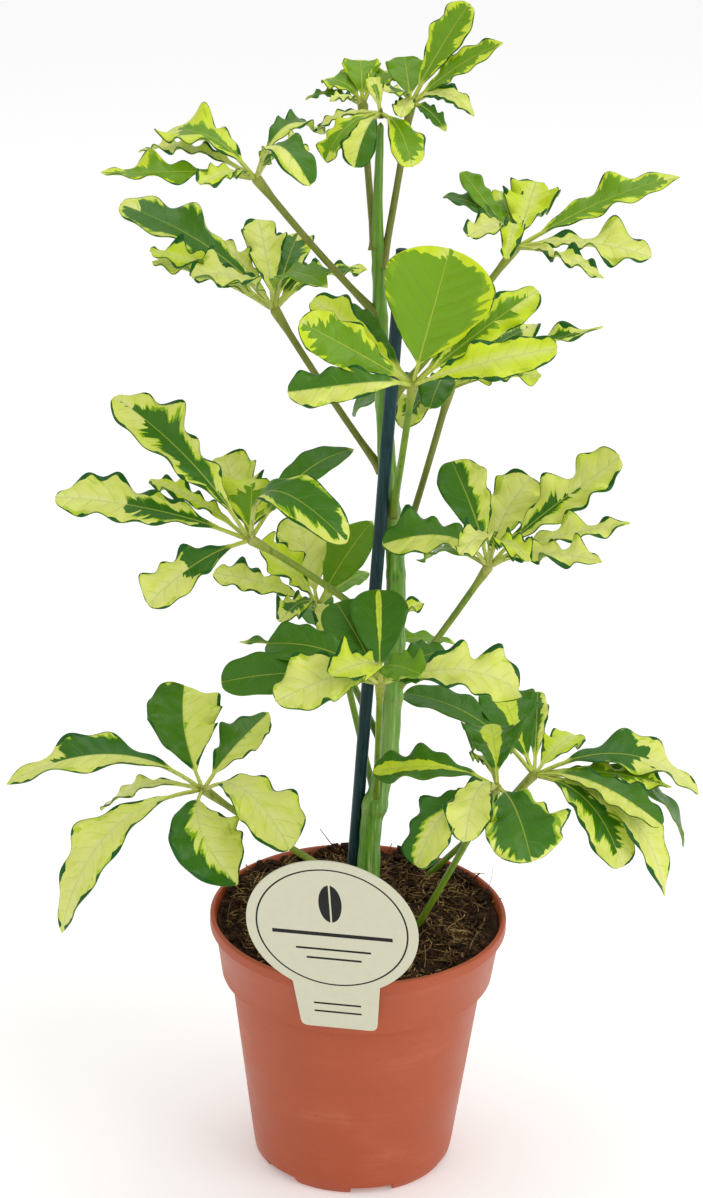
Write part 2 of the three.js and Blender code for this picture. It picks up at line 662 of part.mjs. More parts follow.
// The label's plate and tab as one outline, drawn upright about the foot of the oval
function labelSolid(extra) {
  const outline = new THREE.Shape();
  const middle = LABEL_HEIGHT / 2;
  const across = TAB_TOP_WIDTH / 2;
  const start = -Math.acos(across / (LABEL_WIDTH / 2));
  const drop = TAB_FOOT - LABEL_FOOT;
  const narrow = TAB_FOOT_WIDTH / 2;
  outline.absellipse(0, middle, LABEL_WIDTH / 2, middle, start, Math.PI - start, false, 0);
  outline.lineTo(-narrow, drop + TAB_CORNER);
  outline.quadraticCurveTo(-narrow, drop, -narrow + TAB_CORNER, drop);
  outline.lineTo(narrow - TAB_CORNER, drop);
  outline.quadraticCurveTo(narrow, drop, narrow, drop + TAB_CORNER);
  outline.closePath();
  const depth = LABEL_THICKNESS + 2 * extra;
  const plate = new THREE.ExtrudeGeometry(outline, { depth, bevelEnabled: false, curveSegments: 20 });
  const pivot = POT_HEIGHT - LIP_DEPTH;
  plate.translate(0, LABEL_FOOT - pivot, -extra);
  plate.rotateZ(degrees(-LABEL_ROLL));
  plate.rotateX(degrees(90 + LABEL_LEAN));
  plate.translate(0, 0, pivot);
  const lintelTop = POT_HEIGHT + GAP + LABEL_THICKNESS;
  const lintelDepth = TONGUE_REACH + extra - LINTEL_FRONT;
  const lintel = new THREE.BoxGeometry(TONGUE_WIDTH + 2 * extra, lintelDepth, depth);
  lintel.translate(0, LINTEL_FRONT + lintelDepth / 2, lintelTop - LABEL_THICKNESS / 2);
  const drape = lintelTop - TONGUE_FOOT;
  const tongue = new THREE.BoxGeometry(TONGUE_WIDTH + 2 * extra, depth, drape + extra);
  tongue.translate(0, TONGUE_REACH - LABEL_THICKNESS / 2, lintelTop - (drape + extra) / 2);
  const whole = joined([plate, lintel, tongue].map(toSolid));
  const geometry = toGeometry(whole);
  geometry.rotateZ(degrees(-LABEL_YAW));
  geometry.translate(0, -(LIP_RADIUS + GAP + LABEL_STANDOFF), 0);
  geometry.rotateZ(degrees(LABEL_TURN + 90));
  return toSolid(geometry);
}

const group = new THREE.Group();

function addPiece(name, geometry, colour, roughness) {
  const material = new THREE.MeshStandardMaterial({ color: colour, roughness, metalness: 0 });
  const mesh = new THREE.Mesh(geometry, material);
  mesh.name = name;
  group.add(mesh);
}

const clearance = stemClearance();
const label = labelSolid(0);
const holes = joined([
  clearance,
  toSolid(caneGeometry(GAP)),
  toSolid(petioleGeometry(LEAVES.lower_right_front, GAP)),
  toSolid(petioleGeometry(LEAVES.lower_right_back, GAP)),
  labelSolid(GAP),
]);

addPiece('pot', toGeometry(potSolid()), COLOURS.terracotta, 0.5);
addPiece('soil', toGeometry(soilSolid().subtract(holes)), COLOURS.soil, 1);
addPiece('stem', stemGeometry(0), COLOURS.stem, 0.6);
addPiece('cane', caneGeometry(0), COLOURS.cane, 0.6);
addPiece('label', toGeometry(label), COLOURS.label, 0.7);
Object.entries(LEAVES).forEach(([name, leaf], index) => {
  addPiece(`leaf_${name}`, leafGeometry(leaf, 11 + 7 * index, clearance), COLOURS[leaf.tone], 0.45);
});

export default group;
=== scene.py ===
import random
from math import acos, asin, atan2, copysign, cos, dist, exp, pi, radians, sin, sqrt, tau
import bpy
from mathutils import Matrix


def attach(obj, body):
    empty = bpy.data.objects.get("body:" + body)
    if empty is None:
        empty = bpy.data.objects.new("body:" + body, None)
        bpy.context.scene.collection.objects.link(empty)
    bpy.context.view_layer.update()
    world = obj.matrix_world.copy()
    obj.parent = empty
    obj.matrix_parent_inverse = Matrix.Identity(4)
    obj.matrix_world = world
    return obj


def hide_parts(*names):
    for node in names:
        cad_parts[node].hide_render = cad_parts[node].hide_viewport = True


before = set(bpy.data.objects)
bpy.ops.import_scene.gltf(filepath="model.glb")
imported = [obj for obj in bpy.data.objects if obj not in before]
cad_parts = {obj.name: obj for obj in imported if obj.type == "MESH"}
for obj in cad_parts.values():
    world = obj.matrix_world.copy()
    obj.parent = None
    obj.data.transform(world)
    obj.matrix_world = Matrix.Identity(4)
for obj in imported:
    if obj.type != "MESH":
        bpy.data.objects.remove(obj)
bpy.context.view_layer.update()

from types import SimpleNamespace

import bmesh
import bpy
from mathutils import Matrix, Vector, noise

bl_info = {
    "name": "Potted umbrella plant",
    "version": (1, 0, 0),
    "blender": (4, 5, 0),
    "location": "3D View > Sidebar > Potted plant",
    "description": "A variegated umbrella plant in a nursery pot, with a support cane and a plain label",
    "category": "Add Mesh",
}

MILLIMETRE = 0.001
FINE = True


def fine(full, quick):
    """The first value in a full run, and the second in a quick one."""
    return full if FINE else quick


def paint(code):
    """A colour written as #rrggbb, as linear red, green and blue."""
    shares = [int(code[index:index + 2], 16) / 255 for index in (1, 3, 5)]
    return tuple(s / 12.92 if s <= 0.04045 else ((s + 0.055) / 1.055) ** 2.4 for s in shares)


def number(label, words, value, **kind):
    return bpy.props.FloatProperty(name=label, description=words, default=value, **kind)


def length(label, words, millimetres):
    return number(label, words, millimetres * MILLIMETRE, unit="LENGTH", precision=4)


def share(label, words, value):
    return number(label, words, value, subtype="FACTOR", min=0, max=4)


def count(label, words, value):
    return bpy.props.IntProperty(name=label, description=words, default=value, min=1)


def colour(label, words, code):
    return bpy.props.FloatVectorProperty(
        name=label, description=words, default=paint(code), subtype="COLOR", size=3, min=0, max=1
    )


class PotSettings(bpy.types.PropertyGroup):
    """Sizes and colours of the nursery pot"""

    height: length("Height", "From the underside to the top of the lip", 109)
    lip_radius: length("Lip radius", "Outside radius of the lip", 60)
    lip_depth: length("Lip depth", "Height of the rounded lip", 5)
    collar_top_radius: length("Collar top radius", "Outside radius just below the lip", 57.8)
    collar_foot_radius: length("Collar foot radius", "Outside radius at the foot of the collar", 55)
    collar_foot: length("Collar foot", "Height of the collar's lower edge", 84)
    body_top_radius: length("Body top radius", "Outside radius below the collar", 51)
    body_top: length("Body top", "Height at which the body meets the collar", 81)
    body_foot_radius: length("Body foot radius", "Outside radius just above the foot", 41.5)
    foot_radius: length("Foot radius", "Radius of the ring the pot stands on", 38.5)
    foot_rounding: length("Foot rounding", "Height of the rounding above the foot", 9)
    wall: length("Wall", "Thickness of the wall", 1.3)
    floor_top: length("Floor top", "Height of the inside floor", 5)
    recess: length("Recess", "Depth of the ring in the underside", 2)
    recess_inner: length("Recess inner radius", "Inner radius of the ring in the underside", 20)
    recess_outer: length("Recess outer radius", "Outer radius of the ring in the underside", 33.5)
    drain_radius: length("Drain radius", "Radius of each drain hole", 3.5)
    drain_circle: length("Drain circle", "Radius of the circle of drain holes", 27)
    drains: count("Drains", "Number of drain holes", 8)
    notch_width: length("Notch width", "Width of each notch in the foot", 17.6)
    notch_height: length("Notch height", "Height of each notch in the foot", 3.2)
    notches: count("Notches", "Number of notches in the foot", 6)
    terracotta: colour("Terracotta", "Main colour of the plastic", "#b2532f")
    dusty: colour("Dusty terracotta", "Colour of the paler, dusty patches", "#cf7a56")
    shaded: colour("Dark terracotta", "Colour in the darker streaks", "#9a4526")


class SoilSettings(bpy.types.PropertyGroup):
    """Sizes, amounts and colours of the potting soil"""

    top: length("Top", "Mean height of the soil's surface", 106.6)
    bump: length("Bump", "Height of the broad lumps", 2.2)
    clumps: count("Clumps", "Number of small crumbs on the surface", 1500)
    heaps: count("Heaps", "Number of crumbs heaped along the back of the rim", 260)
    straws: count("Straws", "Number of pale fibres", 330)
    roots: count("Roots", "Number of dark fibres", 1300)
    tilt: share("Tilt", "How far the surface rises towards the back, as a share of the way there", 0.025)
    peat: colour("Peat", "Main colour of the soil", "#38251a")
    # This colour is painted shade: the peat darkens to it where noise lays out hollows between crumbs, and the
    # roots' dark streaks take it too.
    peat_painted_shade: colour("Dark peat", "Colour in the hollows", "#100a06")
    straw: colour("Straw", "Colour of the pale fibres", "#c4a56c")
    root: colour("Root", "Colour of the dark fibres", "#6b4b2f")


class StemSettings(bpy.types.PropertyGroup):
    """Colours of the main stem and the leaf stalks"""

    green: colour("Green", "Main colour of the stem", "#649c1e")
    pale: colour("Pale streaks", "Colour of the pale streaks along the stem", "#a9c476")
    dark: colour("Dark green", "Colour of the dark streaks along the stem", "#2f6414")
    scar: colour("Scar", "Colour of the scars at the leaf bases", "#8b7a3a")
    stalk: colour("Stalk", "Main colour of the leaf stalks", "#648a0e")
    stalk_pale: colour("Pale stalk", "Colour of the pale leaf stalks", "#97a234")
    stalk_cream: colour("Cream stalk", "Colour of the small stalks and midribs of the blades", "#cccf78")
    stalk_brown: colour("Brown stalk", "Colour of the brownish ends of the leaf stalks", "#80662c")


class CaneSettings(bpy.types.PropertyGroup):
    """Size and colours of the support cane"""

    radius: length("Radius", "Radius of the cane", 2.5)
    coating: colour("Coating", "Main colour of the coating", "#0e3236")
    light: colour("Light coating", "Colour of the lighter streaks", "#1f4d54")
    cut: colour("Cut end", "Colour of the cut top", "#66767a")


class LabelSettings(bpy.types.PropertyGroup):
    """Sizes and colours of the plant label"""

    width: length("Width", "Width of the oval plate", 68.5)
    height: length("Height", "Height of the oval plate", 64.5)
    thickness: length("Thickness", "Thickness of the plate", 0.8)
    tab_top: length("Tab top width", "Width of the tab where it leaves the oval", 35)
    tab_foot_width: length("Tab foot width", "Width of the tab at its foot", 31)
    board: colour("Board", "Colour of the plate", "#d8d7bd")
    ink: colour("Ink", "Colour of the ring and the rules", "#201f1c")


class LeafSettings(bpy.types.PropertyGroup):
    """Sizes and colours of the leaves"""

    thickness: length("Thickness", "Thickness of the blades", 0.42)
    rib_radius: length("Rib radius", "Radius of the midrib at its foot", 0.75)
    fold: share("Fold", "How far the halves of a blade lift, as a share of their width", 0.2)
    frill: share("Frill", "Height of the fine frill along rippled edges, as a share of the width", 0.2)
    scallop: share("Scallop", "How far the frill draws the edge in and out, as a share of the half width", 0.1)
    cream: colour("Cream", "Colour of the palest blades", "#e4ea7c")
    lime: colour("Lime", "Yellow-green of the fresh blades", "#cee404")
    mid_green: colour("Mid green", "Mid green of the fresh blades", "#7cab08")
    deep_green: colour("Deep green", "Darkest green of the splashes", "#1a6110")
    margin: colour("Margin", "Colour of the thin dark edge line", "#175c10")


class StageSettings(bpy.types.PropertyGroup):
    """The floor, the light and the camera"""

    floor: colour("Floor", "Colour of the floor", "#ffffff")
    sky: share("Sky", "Strength of the light from all round", 0.62)
    left: number("Left light", "Power of the left light", 3, subtype="POWER", min=0)
    right: number("Right light", "Power of the right light", 11.5, subtype="POWER", min=0)
    above: number("Light above", "Power of the light above", 9, subtype="POWER", min=0)
    viewer: bpy.props.FloatVectorProperty(
        name="Camera place", description="Where the camera stands, in metres", default=(-0.0057, -1.45, 0.89),
        subtype="XYZ",
    )
    down: number("Camera tilt", "How far the camera looks down", radians(23.9), subtype="ANGLE")
    roll: number("Camera roll", "How far the camera is rolled", radians(1.35), subtype="ANGLE")
    focus: number("Focal length", "Focal length in pixels of the picture", 4051, subtype="PIXEL")


def plain(settings):
    """The values of a group of settings, with its lengths in millimetres and its colours as tuples."""
    values = {}
    for key in type(settings).__annotations__:
        value, rule = getattr(settings, key), settings.bl_rna.properties[key]
        if rule.is_array:
            value = tuple(value)
        elif rule.unit == "LENGTH":
            value /= MILLIMETRE
        values[key] = value
    return SimpleNamespace(**values)


# Lengths below are in millimetres and angles in degrees.

# Centre line of the stem, its radius at some heights, and how far over its lowest place the fine stem starts
STEM_LINE = (
    (3, 0, 34), (3, 0, 99), (3.6, -0.5, 125), (4.4, -0.5, 151), (7.1, -0.5, 165), (10, 0, 182),
    (11.3, 0, 204), (11.9, 0, 226), (11.7, 0.5, 247), (11, 1, 264), (7, 1, 302), (4.4, 1.5, 339),
    (2.6, 2, 366), (1.2, 2, 391), (0.6, 2, 409), (1, 2, 441),
)
STEM_RADII = ((34, 4.6), (125, 4.5), (165, 4.3), (247, 3.7), (339, 3.1), (391, 2.3), (430, 1.4), (441, 1.2))
STEM_START = 4

CANE_FOOT = (-7.2, 9.6, 29)
CANE_TOP = (10.3, -11, 395.5)

# The cane's cut top, as shares of its radius: the edge, and the coating left round the cut. Then how deep
# the cut lies.
CANE_EDGE = 0.93
CUT_RIM = 0.16
CUT_DEPTH = 0.12

# The label's turn round the pot, its yaw, lean and roll there, and its heights and gaps
LABEL_TURN = -97.2
LABEL_YAW = 4.6
LABEL_LEAN = 10
LABEL_ROLL = -2.4
LABEL_STANDOFF = 0.25
LABEL_FOOT = 105.5
LABEL_BEVEL = 0.18
TAB_FOOT = 88
TAB_CORNER = 3
LINTEL_FRONT = -1.4
TONGUE_WIDTH = 12
TONGUE_FOOT = 90
TONGUE_REACH = 8
TONGUE_BEND = 1.2

# Marks of the label, from the foot of its oval: the ring's place and share of its radius, the leaf's half
# width, half height, middle and vein, and each rule's ends, foot and depth
RING_INSET = 4.2
RING_LINE = 0.012
LEAF_MARK = (4.6, 9, 44)
LEAF_MARK_VEIN = 0.35
LABEL_RULES = (
    (-24, 24, 28, 1.8), (-15, 15, 21, 1), (-11, 11, 16.5, 1), (-9.5, 9.5, -6, 0.9), (-9.5, 9.5, -10, 0.9),
)

# The label's map: its units for a millimetre, and the place of all that carries no marks
FACE_SCALE = 0.01
UNMARKED = (9, 9)

# Gap between pieces that touch, rounding of the lip, and turn of the first notch in the foot
GAP = 0.3
LIP_ROUNDING = 0.9
NOTCH_TURN = -77.8

# Rings of faces that the drain holes are cut from: the first, past the recess's inner edge, and the rest
DRAIN_RING = 2.5
DRAIN_RING_STEP = 1.05
DRAIN_RINGS = 9

# Seeds of the draws, and how many small parts of the soil are added at a time
LUMP_SEED = 41
SOIL_SEED = 52
LEAF_SEED = 11
LEAF_SEED_STEP = 7
BATCH = 40

# Blades: half width of a small stalk and of the tip, the small stalk's share of the reach, how the width
# grows and ends, and how high and wide the ripples are
STALK_HALF_WIDTH = 0.55
TIP_HALF_WIDTH = 0.1
STALK_SHARE = 0.16
STALK_ROWS = 3
BLADE_TAPER = 1.15
ROUNDED_END = 0.5
POINTED_END = 0.9
ROW_CROWDING = 1.25
RIPPLE_HEIGHT = 0.2
RIPPLE_WIDTH = 0.16

# Leaf stalks: how far they reach past the hub, how far they sag, how their rows crowd at the foot, and
# their radius along the way
HUB_DEPTH = 1.5
STALK_SAG = 3
STALK_CROWDING = 1.5
STALK_RINGS = ((0, 2.7), (0.06, 1.8), (0.2, 1.35), (0.5, 1.25), (0.85, 1.35), (0.95, 2), (1, 2.2))

# The veins of a blade: how far side veins slant, how they bend, and the distance between two of them
VEIN_SLANT = 0.85
VEIN_BEND = 1.25
VEIN_PITCH = 3.1

# How a blade is coloured: how far the green reaches from the midrib on either side as a share of the half
# width, how strong the dark edge line is, how far along the blade the green reaches, how dark the green is
# and how creamy the pale part is. Where they follow, how wide a pale streak along the midrib is, and how far
# a dark band reaches in from one edge.
LOOKS = {
    "cream": (-0.6, -0.6, 0.9, 0.5, 1, 1),
    "cream_base": (0.62, 0.5, 0.9, 0.62, 1, 1),
    "cream_upper": (-0.3, 0.95, 0.9, 0.72, 1, 1),
    "cream_slim": (0.36, 0.26, 0.9, 0.66, 1, 0.8),
    "cream_dark_base": (1.0, 0.85, 0.9, 0.56, 1, 1),
    "cream_edged": (0.8, 0.72, 0.5, 1.02, 0.9, 0.9),
    "splashed": (0.46, 0.54, 0.85, 0.9, 0.95, 0.9),
    "half": (1.2, -0.1, 0.6, 1.1, 0.85, 0.8),
    "other_half": (-0.1, 1.2, 0.6, 1.1, 0.85, 0.9),
    "strip": (1.4, 0.42, 0.5, 1.1, 0.9, 0.9),
    "banded": (-0.6, -0.6, 0.9, 0.8, 1, 0.8, 0, 0.78),
    "dark": (1.5, 1.5, 0, 1.6, 0.9, 0.6),
    "streaked": (1.3, 1.3, 0, 1.5, 0.9, 0.5, 0.3),
    "ribbed": (1.3, 1.3, 0, 1.5, 0.9, 0.9, 0.09),
    "lime": (-0.5, -0.3, 0.8, 0.8, 0.3, 0.2),
    "lime_feather": (0.5, 0.42, 0.6, 0.9, 0.3, 0.25),
    "feather": (0.74, 0.7, 0.3, 0.98, 0.25, 0.25),
    "green": (1.5, 1.5, 0, 1.6, 0.35, 0.3),
    "lime_edged": (0.93, 0.8, 0.2, 0.99, 0.1, 0.1),
    "young": (0.3, 0.3, 0, 0.8, 0.5, 0.8),
}

# Sticks and fibres that stand out of the soil: place, turn, reach, lift, bow, radius and kind (1 for a
# straw, 2 for a root)
SOIL_STICKS = (
    (34.3, -11.2, -15, 11, 0.15, 0.05, 0.9, 1),
    (37, -9, -38, 9, 0.12, 0.1, 0.7, 1),
    (41.3, -30, 75, 11, 0.15, -0.05, 0.8, 1),
    (26.5, -36.4, 87, 22, 0.06, -0.06, 0.22, 1),
    (33.5, 23.8, 252, 14, 0.2, 0.1, 0.25, 1),
    (33.3, -30.4, 28, 9, 0.5, 0.5, 0.2, 1),
    (39.9, 42, -20, 13, 0.1, -0.2, 0.25, 1),
    (30, 5, -80, 14, 0.15, 0.4, 0.22, 1),
    (-47.6, -9.3, -75, 11, 0.1, 0.2, 0.3, 1),
    (-42.1, 36.8, 20, 4, 0.3, 0, 0.5, 1),
    (-8, 53, 165, 14, 1.2, 0.12, 0.25, 2),
    (-14, 52, 120, 5, 1.6, 0.1, 0.2, 2),
    (-45, 32, 120, 5, 1.2, 0.1, 0.5, 2),
    (-41, 37, 100, 7, 2.4, 0.15, 0.12, 2),
    (12, 54, 60, 6, 1.6, 0.1, 0.3, 2),
    (46, 31, 30, 6, 0.8, 0.1, 0.45, 2),
    (54, 14, 5, 5, 0.5, 0, 0.45, 2),
    (52, 22, 60, 12, 1.8, -0.3, 0.1, 2),
)

# Each grain of the soil's roughness: how close and how high. Then the share of the rim's radius that
# crumbs and fibres reach.
SOIL_ROUGHNESS = ((0.2, 2), (0.55, 1.7), (1.2, 1.3))
SOIL_REACH = 0.97

# Crumbs heaped along the rim: the turns round the pot between which they lie, in radians, how far they
# reach in from the rim and how high they lie. Then each heap on top: its height, turn and spread.
HEAP_TURNS = (0.25, pi - 0.1)
HEAP_WIDTH = 4
HEAP_REST = 1.2
SOIL_HEAPS = ((1.8, 1.2, 0.14), (1.4, 1.75, 0.2))

# Crumbs and loose fibres: the least, what the largest adds, and how rare the large ones are
CRUMB_RADIUS = (0.4, 2.1, 2.6)
FIBRE_REACH = (2, 13, 2)
STRAW_RADIUS = (0.12, 0.16, 2)
ROOT_RADIUS = (0.12, 0.3, 2)

# Stage, in metres: each lamp's place and size, where the lamps aim, the camera's sensor in millimetres and
# the photograph's height in pixels
LAMPS = {"left": ((-1.4, -1.2, 1.7), 1.2), "right": ((1.5, -1, 1.2), 1.3), "above": ((0.1, 0.5, 2.1), 1.4)}
LAMPS_AIM = (0, 0, 0.25)
SENSOR = 36
PICTURE_HEIGHT = 1198

